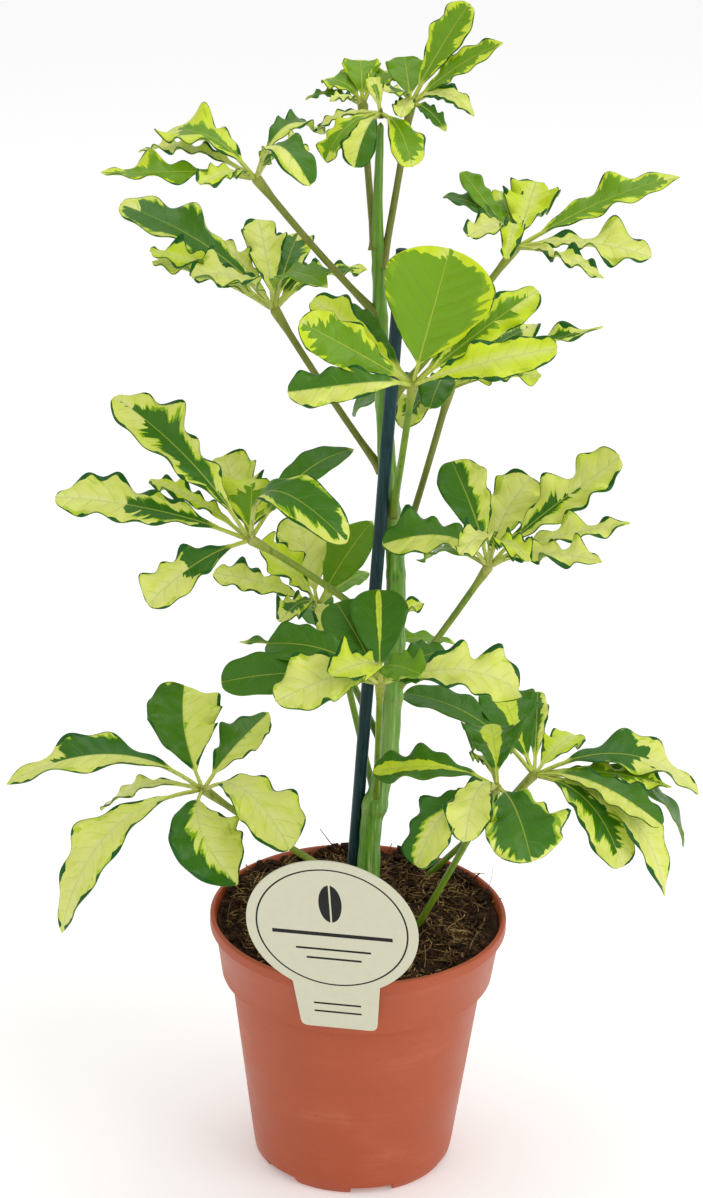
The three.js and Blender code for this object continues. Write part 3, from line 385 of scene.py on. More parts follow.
# Each leaf: the hub its leaflets grow from, the foot of its stalk, the way its blades face, its tone and,
# where it needs them, how its stalk bows and which leaflets are pointed. Each leaflet: turn round the
# upright, rise over the level, reach, width, lift near the hub and near the tip and sweep to the side as
# shares of the reach, ripple and look.
LEAVES = {
    "top_whorl": {
        "hub": (1, 2, 445), "foot": (1, 2, 443.5), "face": (0, -0.2, 1), "tone": "fresh",
        "leaflets": (
            (-55, -37, 26, 14, 0.3, 0.25, 0, 0.3, "feather"),
            (-117, -38, 26, 13, 0.3, 0.25, 0, 0.3, "half"),
            (-154, -36, 28, 12, 0.3, 0.25, 0, 0.4, "feather"),
            (176, -18, 25, 6, 0.15, 0.2, 0, 0.3, "cream"),
            (104, 30, 18, 6, 0.1, 0, 0, 0.3, "young"),
        ),
    },
    "top_left": {
        "hub": (-6, 16, 444), "foot": (0, 2, 391), "face": (0, -0.2, 1), "tone": "fresh",
        "pointed": (0, 1, 2),
        "leaflets": (
            (168, -1, 22, 5, 0.2, 0.25, 0, 0.4, "dark"),
            (-142, 13, 16, 6, 0.2, 0.2, 0, 0.4, "cream"),
            (145, 17, 19, 14, 0.3, 0.25, 0, 0.4, "feather"),
            (94, 34, 21, 14, 0.2, 0.2, 0, 0.3, "lime_edged"),
            (41, 31, 17, 11, 0.3, 0.2, 0, 0.3, "feather"),
        ),
    },
    "top_right": {
        "hub": (12, 8, 447), "foot": (3, 2, 384), "face": (0, -0.5, 1), "tone": "fresh",
        "pointed": (1, 2, 4),
        "leaflets": (
            (14, 60, 43, 15, 0.05, 0.05, 0, 0.3, "feather"),
            (-17, 38, 44, 13, 0.05, 0.08, 0, 0.3, "feather"),
            (-17, -5, 25, 9, 0.4, 0.5, 0, 0.3, "cream"),
            (98, 35, 22, 15, 0.1, 0, 0, 0.2, "green"),
            (-52, -14, 22, 6, 0.2, 0.2, 0, 0.4, "dark"),
            (-119, 26, 22, 8, 0.2, 0.1, 0, 0.3, "splashed"),
            (-100, 3, 22, 8, 0.2, 0.2, 0, 0.3, "cream"),
        ),
    },
    "upper_left": {
        "hub": (-45, -12, 423), "foot": (1.5, 1.5, 365), "face": (0, -0.2, 1), "tone": "fresh",
        "pointed": (0, 2),
        "leaflets": (
            (175, -1, 58, 14, 0.06, 0, 0, 0.8, "feather"),
            (145, 12, 43, 21, 0.22, 0.25, 0, 0.6, "lime_feather"),
            (143, -2, 57, 9, 0.15, 0.15, 0, 0.6, "cream"),
            (-122, 11, 37, 11, 0.15, 0.1, 0, 0.6, "lime"),
            (51, 13, 38, 13, 0.5, 0.42, 0, 0.5, "half"),
            (-6, 31, 23, 12, 0.3, 0.2, 0, 0.8, "splashed"),
            (-55, 11, 37, 15, 0.45, 0.55, 0, 0.4, "half"),
        ),
    },
    "second_left": {
        "hub": (-38, 14, 362), "foot": (5, 2, 301), "face": (0, -0.3, 1), "tone": "deep",
        "pointed": (7, 8, 9),
        "leaflets": (
            (171, 32, 71, 22, 0.15, 0.12, 0, 0.5, "cream_edged"),
            (-157, 30, 58, 12, 0.1, 0.1, 0, 1, "lime"),
            (174, 19, 50, 8, 0.1, 0.1, 0, 1, "cream"),
            (-134, 28, 49, 17, 0.2, 0.2, 0, 0.8, "cream"),
            (129, 26, 40, 9, 0.1, 0.1, 0, 0.8, "cream"),
            (103, 38, 41, 15, 0.1, 0.1, 0, 0.8, "cream"),
            (76, 29, 40, 15, 0.1, 0.1, 0, 0.5, "cream_edged"),
            (-55, 29, 41, 15, 0.4, 0.3, 0, 0.3, "green"),
            (61, 6, 39, 10, 0.2, 0.2, 0, 0.4, "dark"),
            (27, 15, 41, 9, 0.25, 0.2, 0, 0.9, "splashed"),
        ),
    },
    "upper_right": {
        "hub": (54, 16, 389), "foot": (7, 2, 330), "face": (0, -0.3, 1), "tone": "pale",
        "pointed": (0, 2),
        "leaflets": (
            (5, 24, 67, 17, 0.05, 0.1, 0, 0.5, "feather"),
            (-19, 3, 53, 17, 0.12, 0.1, 0, 1.1, "cream"),
            (-45, -1, 45, 8, 0.1, 0.1, 0, 1, "cream"),
            (77, 23, 38, 20, 0.1, 0, 0, 0.8, "lime"),
            (132, 35, 38, 9, 0.05, 0, 0, 0.3, "green"),
            (99, 16, 37, 12, 0.1, 0, 0, 0.7, "lime_feather"),
            (140, 18, 38, 8, 0.2, 0.2, 0, 0.3, "dark"),
            (-123, 21, 38, 13, 0.3, 0.2, 0, 0.6, "cream"),
            (-98, 11, 36, 8, 0.4, 0.4, 0, 0.9, "lime"),
        ),
    },
    "center_front": {
        "hub": (15, -46, 355), "foot": (9.5, -2, 285), "face": (0, -1, 0.6), "tone": "fresh",
        "leaflets": (
            (0, 77, 55, 41, 0.04, 0.04, 0, 0.15, "lime_edged"),
            (-164, 33, 52, 18, 0.1, 0.05, 0, 0.6, "feather"),
            (156, 33, 49, 14, 0.15, 0.1, 0, 0.9, "lime"),
            (-160, 3, 49, 14, 0.42, 0.1, 0, 0.8, "other_half"),
            (129, 25, 44, 11, 0.1, 0.1, 0, 0.4, "dark"),
            (12, 37, 58, 14, 0.1, 0.15, 0, 0.7, "lime_feather"),
            (38, 31, 50, 15, 0.15, 0.1, 0, 0.8, "splashed"),
            (-18, 22, 59, 15, 0.2, 0.2, 0, 1, "lime"),
        ),
    },
    "center_right_back": {
        "hub": (31, 32, 325), "foot": (11, 1, 259), "face": (0, -0.2, 1), "tone": "deep",
        "pointed": (3,),
        "leaflets": (
            (166, -21, 42, 21, 0.2, 0.2, 0, 0.3, "dark"),
            (-123, -11, 35, 13, 0.2, 0.3, 0, 0.5, "splashed"),
            (-104, 6, 35, 13, 0.3, 0.3, 0, 0.3, "dark"),
            (7, 22, 64, 9, 0.1, 0.05, 0, 0.9, "splashed"),
            (-23, 16, 39, 13, 0.1, 0.1, 0, 0.9, "lime_feather"),
            (38, 22, 46, 14, 0.1, 0.1, 0, 0.8, "splashed"),
            (93, 3, 35, 12, 0.1, 0.1, 0, 0.3, "dark"),
        ),
    },
    "middle_left": {
        "hub": (-45, -26, 283), "foot": (10.5, 4.2, 230), "face": (0, -0.4, 1), "tone": "pale",
        "bow": (0, 10, 0),
        "pointed": (6,),
        "leaflets": (
            (164, 43, 75, 22, 0.12, 0.12, 0, 0.7, "splashed"),
            (178, 11, 76, 22, 0.08, 0.08, 0, 0.5, "cream_base"),
            (-148, -22, 48, 19, 0.15, 0.15, 0, 0.6, "cream_dark_base"),
            (142, 12, 52, 9, 0.1, 0.1, 0, 0.8, "lime"),
            (109, 30, 41, 22, 0.1, 0, 0, 0.9, "cream"),
            (90, 45, 25, 26, 0.2, 0, 0, 0.9, "lime_feather"),
            (39, 27, 56, 14, 0.25, 0.25, 0, 0.1, "dark"),
            (-37, 14, 48, 21, 0.7, 0.6, 0, 0.2, "cream_edged"),
        ),
    },
    "middle_left_back": {
        "hub": (-19, 26, 233), "foot": (9, 1, 182), "face": (0, -0.5, 1), "tone": "fresh",
        "pointed": (0, 1),
        "leaflets": (
            (25, 55, 40, 18, 0.1, 0.1, 0, 0.2, "green"),
            (58, 2, 37, 10, 0.1, 0.1, 0, 0.3, "green"),
            (115, 54, 37, 23, 0.1, 0.05, 0, 0.5, "cream"),
            (-153, 49, 40, 18, 0.1, 0.1, 0, 0.6, "lime"),
            (-177, 18, 44, 13, 0.08, 0.1, 0, 0.6, "cream"),
            (-114, 11, 36, 11, 0.15, 0.25, 0, 0.8, "splashed"),
            (-82, 0, 35, 9, 0.2, 0.25, 0, 0.4, "cream"),
        ),
    },
    "low_back": {
        "hub": (-8, 40, 199), "foot": (6, 1, 160), "face": (0, 0, 1), "tone": "fresh",
        "pointed": (0, 1),
        "leaflets": (
            (171, 10, 44, 7, 0.15, 0.1, 0, 0.5, "dark"),
            (15, 8, 47, 12, 0.2, 0.2, 0, 0.5, "green"),
            (41, 23, 45, 10, 0.2, 0.1, 0, 0.9, "lime"),
            (120, 20, 42, 16, 0.2, 0.2, 0, 0.5, "dark"),
            (75, 10, 36, 18, 0.2, 0.2, 0, 0.5, "dark"),
            (129, -6, 44, 14, 0.2, 0.2, 0, 0.5, "splashed"),
        ),
    },
    "middle_right": {
        "hub": (47, -14, 269), "foot": (12, 0, 207), "face": (0, -0.4, 1), "tone": "pale",
        "pointed": (4, 5),
        "leaflets": (
            (118, 45, 45, 20, 0.15, 0.1, 0, 0.3, "strip"),
            (-167, 16, 44, 20, 0.35, 0.3, 0, 0.6, "other_half"),
            (64, 33, 44, 22, 0.1, 0, 0.08, 0.8, "cream"),
            (8, 42, 66, 21, 0.1, 0, 0, 0.8, "cream_slim"),
            (-15, 25, 60, 11, 0.15, 0.05, 0, 1, "cream"),
            (-39, 18, 56, 13, 0.15, 0.1, 0, 1, "cream"),
            (-109, 28, 42, 11, 0.4, 0.3, 0, 0.9, "cream"),
            (-68, 25, 41, 10, 0.3, 0.3, 0, 1, "lime"),
            (127, -17, 43, 11, 0.2, 0.2, 0, 0.5, "green"),
        ),
    },
    "low_centre": {
        "hub": (6, -46, 233), "foot": (6, 0, 158), "face": (0, -0.6, 1), "tone": "deep",
        "leaflets": (
            (124, 35, 38, 21, 0.1, 0.05, 0, 0.1, "dark"),
            (93, 46, 38, 22, 0.1, 0.05, 0, 0.1, "ribbed"),
            (170, 15, 46, 18, 0.3, 0.25, 0, 0.3, "dark"),
            (-173, 2, 61, 20, 0.13, 0.15, 0, 0.2, "dark"),
            (-143, 6, 49, 23, 0.3, 0.2, 0, 0.6, "cream"),
            (-123, 25, 38, 16, 0.35, 0.25, 0, 0.9, "lime"),
            (-57, 28, 32, 15, 0.35, 0.2, 0, 0.6, "green"),
            (7, 18, 18, 13, 0.15, 0.15, 0, 0.4, "dark"),
            (-2, -1, 53, 22, 0.25, 0.35, 0, 0.8, "cream"),
            (48, 2, 38, 14, 0.2, 0.1, 0, 0.3, "dark"),
        ),
    },
    "lower_left": {
        "hub": (-63, -6, 166), "foot": (3, 0, 118), "face": (0, -0.2, 1), "tone": "pale",
        "pointed": (0, 1, 3, 6),
        "leaflets": (
            (-176, 2, 78, 21, 0.3, 0.25, 0, 0.5, "cream_upper"),
            (-148, -37, 80, 22, 0.38, 0.36, 0, 0.4, "cream"),
            (153, -24, 51, 12, 0.2, 0.15, 0, 0.4, "cream"),
            (-66, -33, 45, 30, 0.3, 0.25, -0.28, 0.3, "banded"),
            (-44, -10, 50, 26, 0.4, 0.35, 0, 0.4, "cream"),
            (105, 39, 46, 30, 0.1, 0, 0.1, 0.5, "half"),
            (54, 23, 46, 18, 0.1, 0.05, 0, 0.5, "half"),
        ),
    },
    "lower_right_front": {
        "hub": (53, -34, 184), "foot": (16, -2, 88), "face": (0, -0.3, 1), "tone": "deep",
        "leaflets": (
            (180, 6, 49, 18, 0.22, 0.15, 0, 0.5, "streaked"),
            (-141, -29, 46, 20, 0.4, 0.4, 0, 0.5, "banded"),
            (-111, -11, 37, 17, 0.4, 0.35, -0.1, 0.6, "cream"),
            (-69, -23, 39, 31, 0.3, 0.25, 0, 0.6, "cream_edged"),
            (94, 17, 36, 22, 0.2, 0.1, 0, 0.8, "streaked"),
            (101, -8, 36, 9, 0.2, 0.2, 0, 0.6, "cream"),
        ),
    },
    "lower_right_back": {
        "hub": (70, 22, 162), "foot": (14, 44, 88), "face": (0, -0.2, 1), "tone": "deep",
        "pointed": (4, 5, 9),
        "leaflets": (
            (150, 18, 65, 17, 0.2, 0.2, 0, 0.2, "dark"),
            (112, 32, 43, 24, 0.15, 0.1, 0.06, 0.3, "streaked"),
            (87, 32, 40, 9, 0.1, 0, 0, 0.3, "strip"),
            (63, 2, 39, 16, 0.1, 0.1, 0, 0.5, "lime"),
            (6, -9, 69, 24, 0.3, 0.3, 0, 0.5, "cream_dark_base"),
            (-11, 1, 56, 12, 0.1, 0.1, 0, 0.8, "lime_feather"),
            (8, -29, 73, 14, 0.35, 0.35, 0, 0.3, "dark"),
            (-33, -5, 60, 16, 0.2, 0.15, 0, 0.4, "half"),
            (-44, -26, 54, 23, 0.3, 0.35, 0, 0.4, "splashed"),
            (-28, -33, 72, 17, 0.36, 0.4, 0, 0.5, "cream"),
        ),
    },
}


def drawer(seed):
    """Repeatable draws between 0 and 1."""
    state = seed

    def draw():
        nonlocal state
        state = state * 16807 % 2147483647
        return state / 2147483647

    return draw


def between(value, low, high):
    """The value, kept within two bounds."""
    return max(low, min(high, value))


def on_line(points, place):
    """The value at a place along a list of (place, value)."""
    if place <= points[0][0]:
        return points[0][1]
    for (low, first), (high, second) in zip(points, points[1:]):
        if place <= high:
            return first + (second - first) * (place - low) / (high - low)
    return points[-1][1]


def bend(points, part):
    """A place on the Bezier curve through the given control points."""
    while len(points) > 1:
        points = [first.lerp(second, part) for first, second in zip(points, points[1:])]
    return points[0]


def faces_of(verts):
    """The faces at some vertices, each once and always in the same order."""
    return list(dict.fromkeys(face for vert in verts for face in vert.link_faces))


def verts_in(items):
    return [item for item in items if isinstance(item, bmesh.types.BMVert)]


def tube_along(bm, place_at, radius_at, sides, rows, material=0):
    """A closed tube whose centre line and radius are given for each share of its length."""
    centres = [place_at(index / rows) for index in range(rows + 1)]
    side = Vector((1, 0, 0)) if abs((centres[1] - centres[0]).normalized().x) < 0.8 else Vector((0, 1, 0))
    frames = []
    for index in range(rows + 1):
        forward = (centres[min(index + 1, rows)] - centres[max(index - 1, 0)]).normalized()
        side = (side - forward * side.dot(forward)).normalized()
        frames.append((side, forward.cross(side)))
    grid = bmesh.ops.create_grid(bm, x_segments=sides, y_segments=rows, size=1)["verts"]
    for vert in grid:
        angle, step = (vert.co.x + 1) * pi, (vert.co.y + 1) / 2
        index = round(step * rows)
        first, second = frames[index]
        vert.co = centres[index] + (first * cos(angle) + second * sin(angle)) * radius_at(step, angle)
    bmesh.ops.remove_doubles(bm, verts=grid, dist=1e-5)
    made = [vert for vert in grid if vert.is_valid]
    rim = dict.fromkeys(edge for vert in made for edge in vert.link_edges if edge.is_boundary)
    bmesh.ops.holes_fill(bm, edges=list(rim), sides=0)
    for face in faces_of(made):
        face.material_index = material
    return made


def solid_sheet(bm, faces, thickness):
    """Gives flat faces a thickness, and returns the new vertices."""
    for face in faces:
        face.normal_update()
    return verts_in(bmesh.ops.solidify(bm, geom=faces, thickness=thickness)["geom"])


def in_scene(name, data):
    """Puts a mesh, lamp or camera into the scene."""
    made = bpy.data.objects.new(name, data)
    bpy.context.scene.collection.objects.link(made)
    return made


def finished(name, bm, materials, node, smooth=True):
    """Puts a bmesh in millimetres into the scene as the piece that stands for a node of the frame."""
    bmesh.ops.scale(bm, vec=(MILLIMETRE,) * 3, verts=bm.verts[:])
    mesh = bpy.data.meshes.new(name)
    bm.to_mesh(mesh)
    bm.free()
    mesh.polygons.foreach_set("use_smooth", [smooth] * len(mesh.polygons))
    for material in materials:
        mesh.materials.append(material)
    piece = in_scene(name, mesh)
    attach(piece, "root")
    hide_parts(node)
    return piece


def math_method(operation, swapped=False):
    """A method of Signal for one of the plain signs of arithmetic."""
    def method(self, other):
        pair = (other, self) if swapped else (self, other)
        return self.wiring.math(operation, *pair)
    return method


class Signal:
    """An output socket that plain sums can be written with."""

    def __init__(self, wiring, socket):
        self.wiring, self.socket = wiring, socket

    __add__ = __radd__ = math_method("ADD")
    __sub__ = math_method("SUBTRACT")
    __rsub__ = math_method("SUBTRACT", swapped=True)
    __mul__ = __rmul__ = math_method("MULTIPLY")
    __truediv__ = math_method("DIVIDE")
    __pow__ = math_method("POWER")
    __lt__ = math_method("LESS_THAN")
    __gt__ = math_method("GREATER_THAN")

    def __abs__(self):
        return self.wiring.math("ABSOLUTE", self)

    def rise(self, low, high, start=0, end=1):
        """A smooth step from start to end as the value goes from low to high."""
        inputs = dict(enumerate((self, low, high, start, end)))
        return self.wiring.made("ShaderNodeMapRange", inputs, interpolation_type="SMOOTHSTEP")


class Wiring:
    """Adds shader nodes to a tree and joins them."""

    def __init__(self, tree):
        self.tree = tree

    def node(self, kind, inputs, **settings):
        made = self.tree.nodes.new(kind)
        for key, value in settings.items():
            setattr(made, key, value)
        for label, value in inputs.items():
            self.feed(made.inputs[label], value)
        return made

    def made(self, kind, inputs, output=0, **settings):
        return Signal(self, self.node(kind, inputs, **settings).outputs[output])

    def feed(self, target, value):
        if isinstance(value, Signal):
            self.tree.links.new(value.socket, target)
        elif isinstance(value, tuple) and target.type == "RGBA":
            target.default_value = (*value, 1)
        else:
            target.default_value = value

    def math(self, operation, *values):
        return self.made("ShaderNodeMath", dict(enumerate(values)), operation=operation)

    def blend(self, factor, first, second):
        inputs = {0: factor, 6: first, 7: second}
        return self.made("ShaderNodeMix", inputs, 2, data_type="RGBA", clamp_factor=True)

    def mid(self, factor, first, second):
        inputs = {0: factor, 2: first, 3: second}
        return self.made("ShaderNodeMix", inputs, data_type="FLOAT", clamp_factor=True)

    def vector(self, *values):
        return self.made("ShaderNodeCombineXYZ", dict(enumerate(values)))

    def parts(self, value):
        return [Signal(self, part) for part in self.node("ShaderNodeSeparateXYZ", {0: value}).outputs]

    def noise(self, place, detail=2, roughness=0.5):
        inputs = {"Vector": place, "Scale": 1, "Detail": detail, "Roughness": roughness}
        return self.made("ShaderNodeTexNoise", inputs, "Fac")

    def attribute(self, name):
        outputs = self.node("ShaderNodeAttribute", {}, attribute_name=name).outputs
        return (*self.parts(Signal(self, outputs["Vector"])), Signal(self, outputs["Alpha"]))

    def placed(self, *scale):
        """Object coordinates in millimetres, scaled along each axis."""
        inputs = {"Vector": self.made("ShaderNodeTexCoord", {}, "Object")}
        inputs["Scale"] = tuple(part / MILLIMETRE for part in scale)
        return self.made("ShaderNodeMapping", inputs)

    def group(self, name, **values):
        """The outputs of a shared group, which is built when it is first used."""
        tree = bpy.data.node_groups.get(name) or GROUPS[name]()
        inputs = {label.replace("_", " ").capitalize(): value for label, value in values.items()}
        outputs = self.node("ShaderNodeGroup", inputs, node_tree=tree).outputs
        return {output.name: Signal(self, output) for output in outputs}

    def coat(self, colour, roughness=None, height=None, strength=1, depth=1):
        """Feeds the shader's colour and, where they are given, its roughness and a bump."""
        shader = self.tree.nodes["Principled BSDF"].inputs
        self.feed(shader["Base Color"], colour)
        if roughness is not None:
            self.feed(shader["Roughness"], roughness)
        if height is not None:
            inputs = {"Strength": strength, "Distance": depth * MILLIMETRE, "Height": height}
            self.feed(shader["Normal"], self.made("ShaderNodeBump", inputs))


def new_material(name, **settings):
    """A material whose Principled shader has these plain sockets, and its wiring."""
    material = bpy.data.materials.new(name)
    material.use_nodes = True
    w = Wiring(material.node_tree)
    for label, value in settings.items():
        w.feed(material.node_tree.nodes["Principled BSDF"].inputs[label.replace("_", " ")], value)
    return material, w


def new_group(name, inputs, outputs):
    """A shader node group with named sockets: its wiring, what it is given, and its output sockets."""
    tree = bpy.data.node_groups.new(name, "ShaderNodeTree")
    for in_out, sockets in (("INPUT", inputs), ("OUTPUT", outputs)):
        for label, kind in sockets:
            tree.interface.new_socket(name=label, in_out=in_out, socket_type=f"NodeSocket{kind}")
    w = Wiring(tree)
    taken = [Signal(w, socket) for socket in w.node("NodeGroupInput", {}).outputs if socket.name]
    return w, taken, w.node("NodeGroupOutput", {}).inputs


def make_variegation_group():
    """Where a blade is green, pale or edged, its veins, and how rough and raised it is."""
    w, (cream, lime, mid_green, deep_green, edge_green), given = new_group(
        "variegation",
        [(label, "Color") for label in ("Cream", "Lime", "Mid green", "Deep green", "Margin")],
        (("Colour", "Color"), ("Roughness", "Float"), ("Height", "Float")),
    )
    x, y, half, along = w.attribute("blade_place")
    core_plus, core_minus, margin, reach = w.attribute("blade_look")
    deep, creamy, streak, seed = w.attribute("blade_tint")
    under, band_minus, _, _ = w.attribute("blade_under")

    away = abs(y)
    across = away / w.math("MAXIMUM", half, 0.2)
    plus = y > 0
    side = w.mid(plus, 7.3, 19.1)
    vein_place = x - away * VEIN_SLANT

    def veined(lengthwise, outward, offset, detail=2):
        """Noise drawn out along the side veins."""
        place = w.vector(vein_place * lengthwise, away * outward + side, seed * 61.7 + offset)
        return w.noise(place, detail) - 0.5

    broad = veined(0.09, 0.05, 0)
    feather = veined(0.42, 0.06, 5, 1)
    jag = veined(1.3, 0.25, 9, 1)
    patch = veined(0.05, 0.09, 13)
    mottle = veined(0.3, 0.3, 37, 4)

    # How deep inside the green a place lies, in shares of the half width
    core = w.mid(plus, core_minus, core_plus)
    wander = (broad * 1.5 + feather * 0.75 + jag * 0.24) * core.rise(0.75, 0.79, 1, 0.5)
    ending = (along + wander * 0.45).rise(reach - 0.1, reach, 1, 0)
    width = core + wander * core.rise(0, 0.5, 0.25, 1)
    depth = w.mid(ending, -0.6, width) - across
    band = w.mid(plus, band_minus, 0) * (wander * 1.1 + 1)
    depth = w.math("MAXIMUM", depth, across + band - 1.13)

    # The pale part, with lime patches, green blotches near the rim and speckles near the green
    pale = w.blend(creamy + patch * 0.9, lime, cream)
    pale = w.blend(across.rise(0.05, 0.55, 0.4, 0), pale, w.blend(0.5, cream, (0.85, 0.87, 0.5)))
    pale = w.blend(mottle.rise(-0.02, 0.2, 0, 0.45), pale, lime)
    blotch = (veined(0.16, 0.2, 31, 3) + jag * 0.25).rise(0.05, 0.1)
    blotch = blotch * (across + feather * 0.5).rise(0.66, 0.8, 0, 0.75) * margin.rise(0.3, 0.6)
    pale = w.blend(blotch, pale, w.blend(0.5, lime, mid_green))
    near_green = (depth + feather * 0.5).rise(-0.34, 0.02, 0, 0.75)
    pale = w.blend(near_green, pale, lime)
    speckles = veined(2.4, 1.6, 23, 3).rise(0.12, 0.2, 0, 0.35)
    pale = w.blend(speckles * near_green, pale, mid_green)

    # The green part, and the pale streak along the midrib
    shade = w.blend(patch * 1.2 + 0.3, mid_green, deep_green)
    dark = w.blend(deep, mid_green, w.blend(0.8, shade, deep_green))
    tinted = w.blend((depth + feather * 0.35).rise(-0.1, -0.07) * 0.9, pale, mid_green)
    tinted = w.blend(depth.rise(0, 0.025), tinted, dark)
    widening = along * 1.3 + (wander * 2 + 0.35)
    tinted = w.blend((streak * widening - across).rise(0, 0.03), tinted, pale)
    tinted = w.blend(half.rise(0.8, 2, 0.8, 0), tinted, w.blend(0.4, cream, lime))

    # The dark line along the edge
    edge_noise = w.noise(w.vector(x * 0.16, side, seed * 91), 1)
    line = margin * (edge_noise * 8.4 - 3.5) + jag * 0.5
    line = w.math("MAXIMUM", line, margin * 0.3) * margin.rise(0.02, 0.1) * half.rise(1, 2.6)
    tinted = w.blend((line - (half - away)).rise(-0.02, 0.12), tinted, edge_green)

    # The veins, and the paler underside
    bent = x - away ** VEIN_BEND * 0.42 + (side * 0.3 + broad * 5)
    vein = w.math("PINGPONG", bent, VEIN_PITCH)
    side_vein = vein.rise(0.03, 0.3, 1, 0) * across.rise(0.4, 0.9, 1, 0)
    rib = (away + along * 0.22).rise(0.2, 0.52, 1, 0)
    greenish = depth.rise(-0.1, 0.02)
    vein_colour = w.blend(greenish, lime, w.blend(0.3, mid_green, cream))
    tinted = w.blend(side_vein * w.mid(greenish, 0.16, 0.12), tinted, vein_colour)
    rib_colour = w.blend(greenish, w.blend(0.35, cream, (0.9, 0.9, 0.6)), w.blend(0.5, lime, cream))
    tinted = w.blend(rib * 0.45, tinted, rib_colour)
    paler = w.blend(0.42, tinted, w.blend(0.35, mid_green, cream))
    w.feed(given["Colour"], w.blend(under, tinted, paler))

    grain = w.noise(w.placed(1.6, 1.6, 1.6), 2)
    w.feed(given["Roughness"], grain * 0.16 + 0.24 + under * 0.22)
    sunk = (side_vein + rib * 1.2) * -0.6
    pucker = vein.rise(0.1, 3) * 0.6
    w.feed(given["Height"], sunk + pucker + grain * 0.22 + mottle * 1.6)
    return w.tree


def make_streaks_group():
    """Streaks and patches that wander between three colours."""
    w, (base, light, dark, streaks, patches), given = new_group(
        "streaks",
        (("Base", "Color"), ("Light", "Color"), ("Dark", "Color"), ("Streaks", "Float"), ("Patches", "Float")),
        (("Colour", "Color"),),
    )
    lit = w.blend(streaks.rise(0.5, 0.72), base, light)
    dim = w.blend(streaks.rise(0.5, 0.3, 0, 0.8), lit, dark)
    w.feed(given["Colour"], w.blend(patches.rise(0.5, 0.7, 0, 0.35), dim, light))
    return w.tree


GROUPS = {"variegation": make_variegation_group, "streaks": make_streaks_group}


def blade_materials(settings):
    """The material of each tone of leaf; the tones share one look, and each is a material of its own."""
    for tone in ("fresh", "pale", "deep"):
        _, w = new_material(f"blade_{tone}", Specular_IOR_Level=0.3)
        blade = w.group(
            "variegation", cream=settings.cream, lime=settings.lime, mid_green=settings.mid_green,
            deep_green=settings.deep_green, margin=settings.margin,
        )
        w.coat(blade["Colour"], blade["Roughness"], blade["Height"], 0.7, 0.35)


def stalk_material(settings):
    """The leaf stalks and midribs: green to cream, and brown where they are old."""
    _, w = new_material("leaf_stalk", Roughness=0.42)
    run, pale, brown, seed = w.attribute("stalk_look")
    shift = w.noise(w.vector(run * 0.08, seed * 71, 0), 2) - 0.5
    fleck = w.noise(w.placed(0.5, 0.5, 0.12), 3)
    body = w.blend(pale + shift, settings.stalk, settings.stalk_pale)
    body = w.blend(pale.rise(1, 2), body, settings.stalk_cream)
    body = w.blend(fleck.rise(0.5, 0.7, 0, 0.5), body, settings.dark)
    w.coat(w.blend(brown, body, settings.stalk_brown), None, fleck, 0.3, 0.3)


def blade_width(part, end):
    """The blade's width at a share of its way to the tip, as a share of its full width."""
    way = between(part, 0, 1)
    widest = BLADE_TAPER / (BLADE_TAPER + end)
    fullness = widest ** BLADE_TAPER * (1 - widest) ** end
    return way ** BLADE_TAPER * (1 - way) ** end / fullness


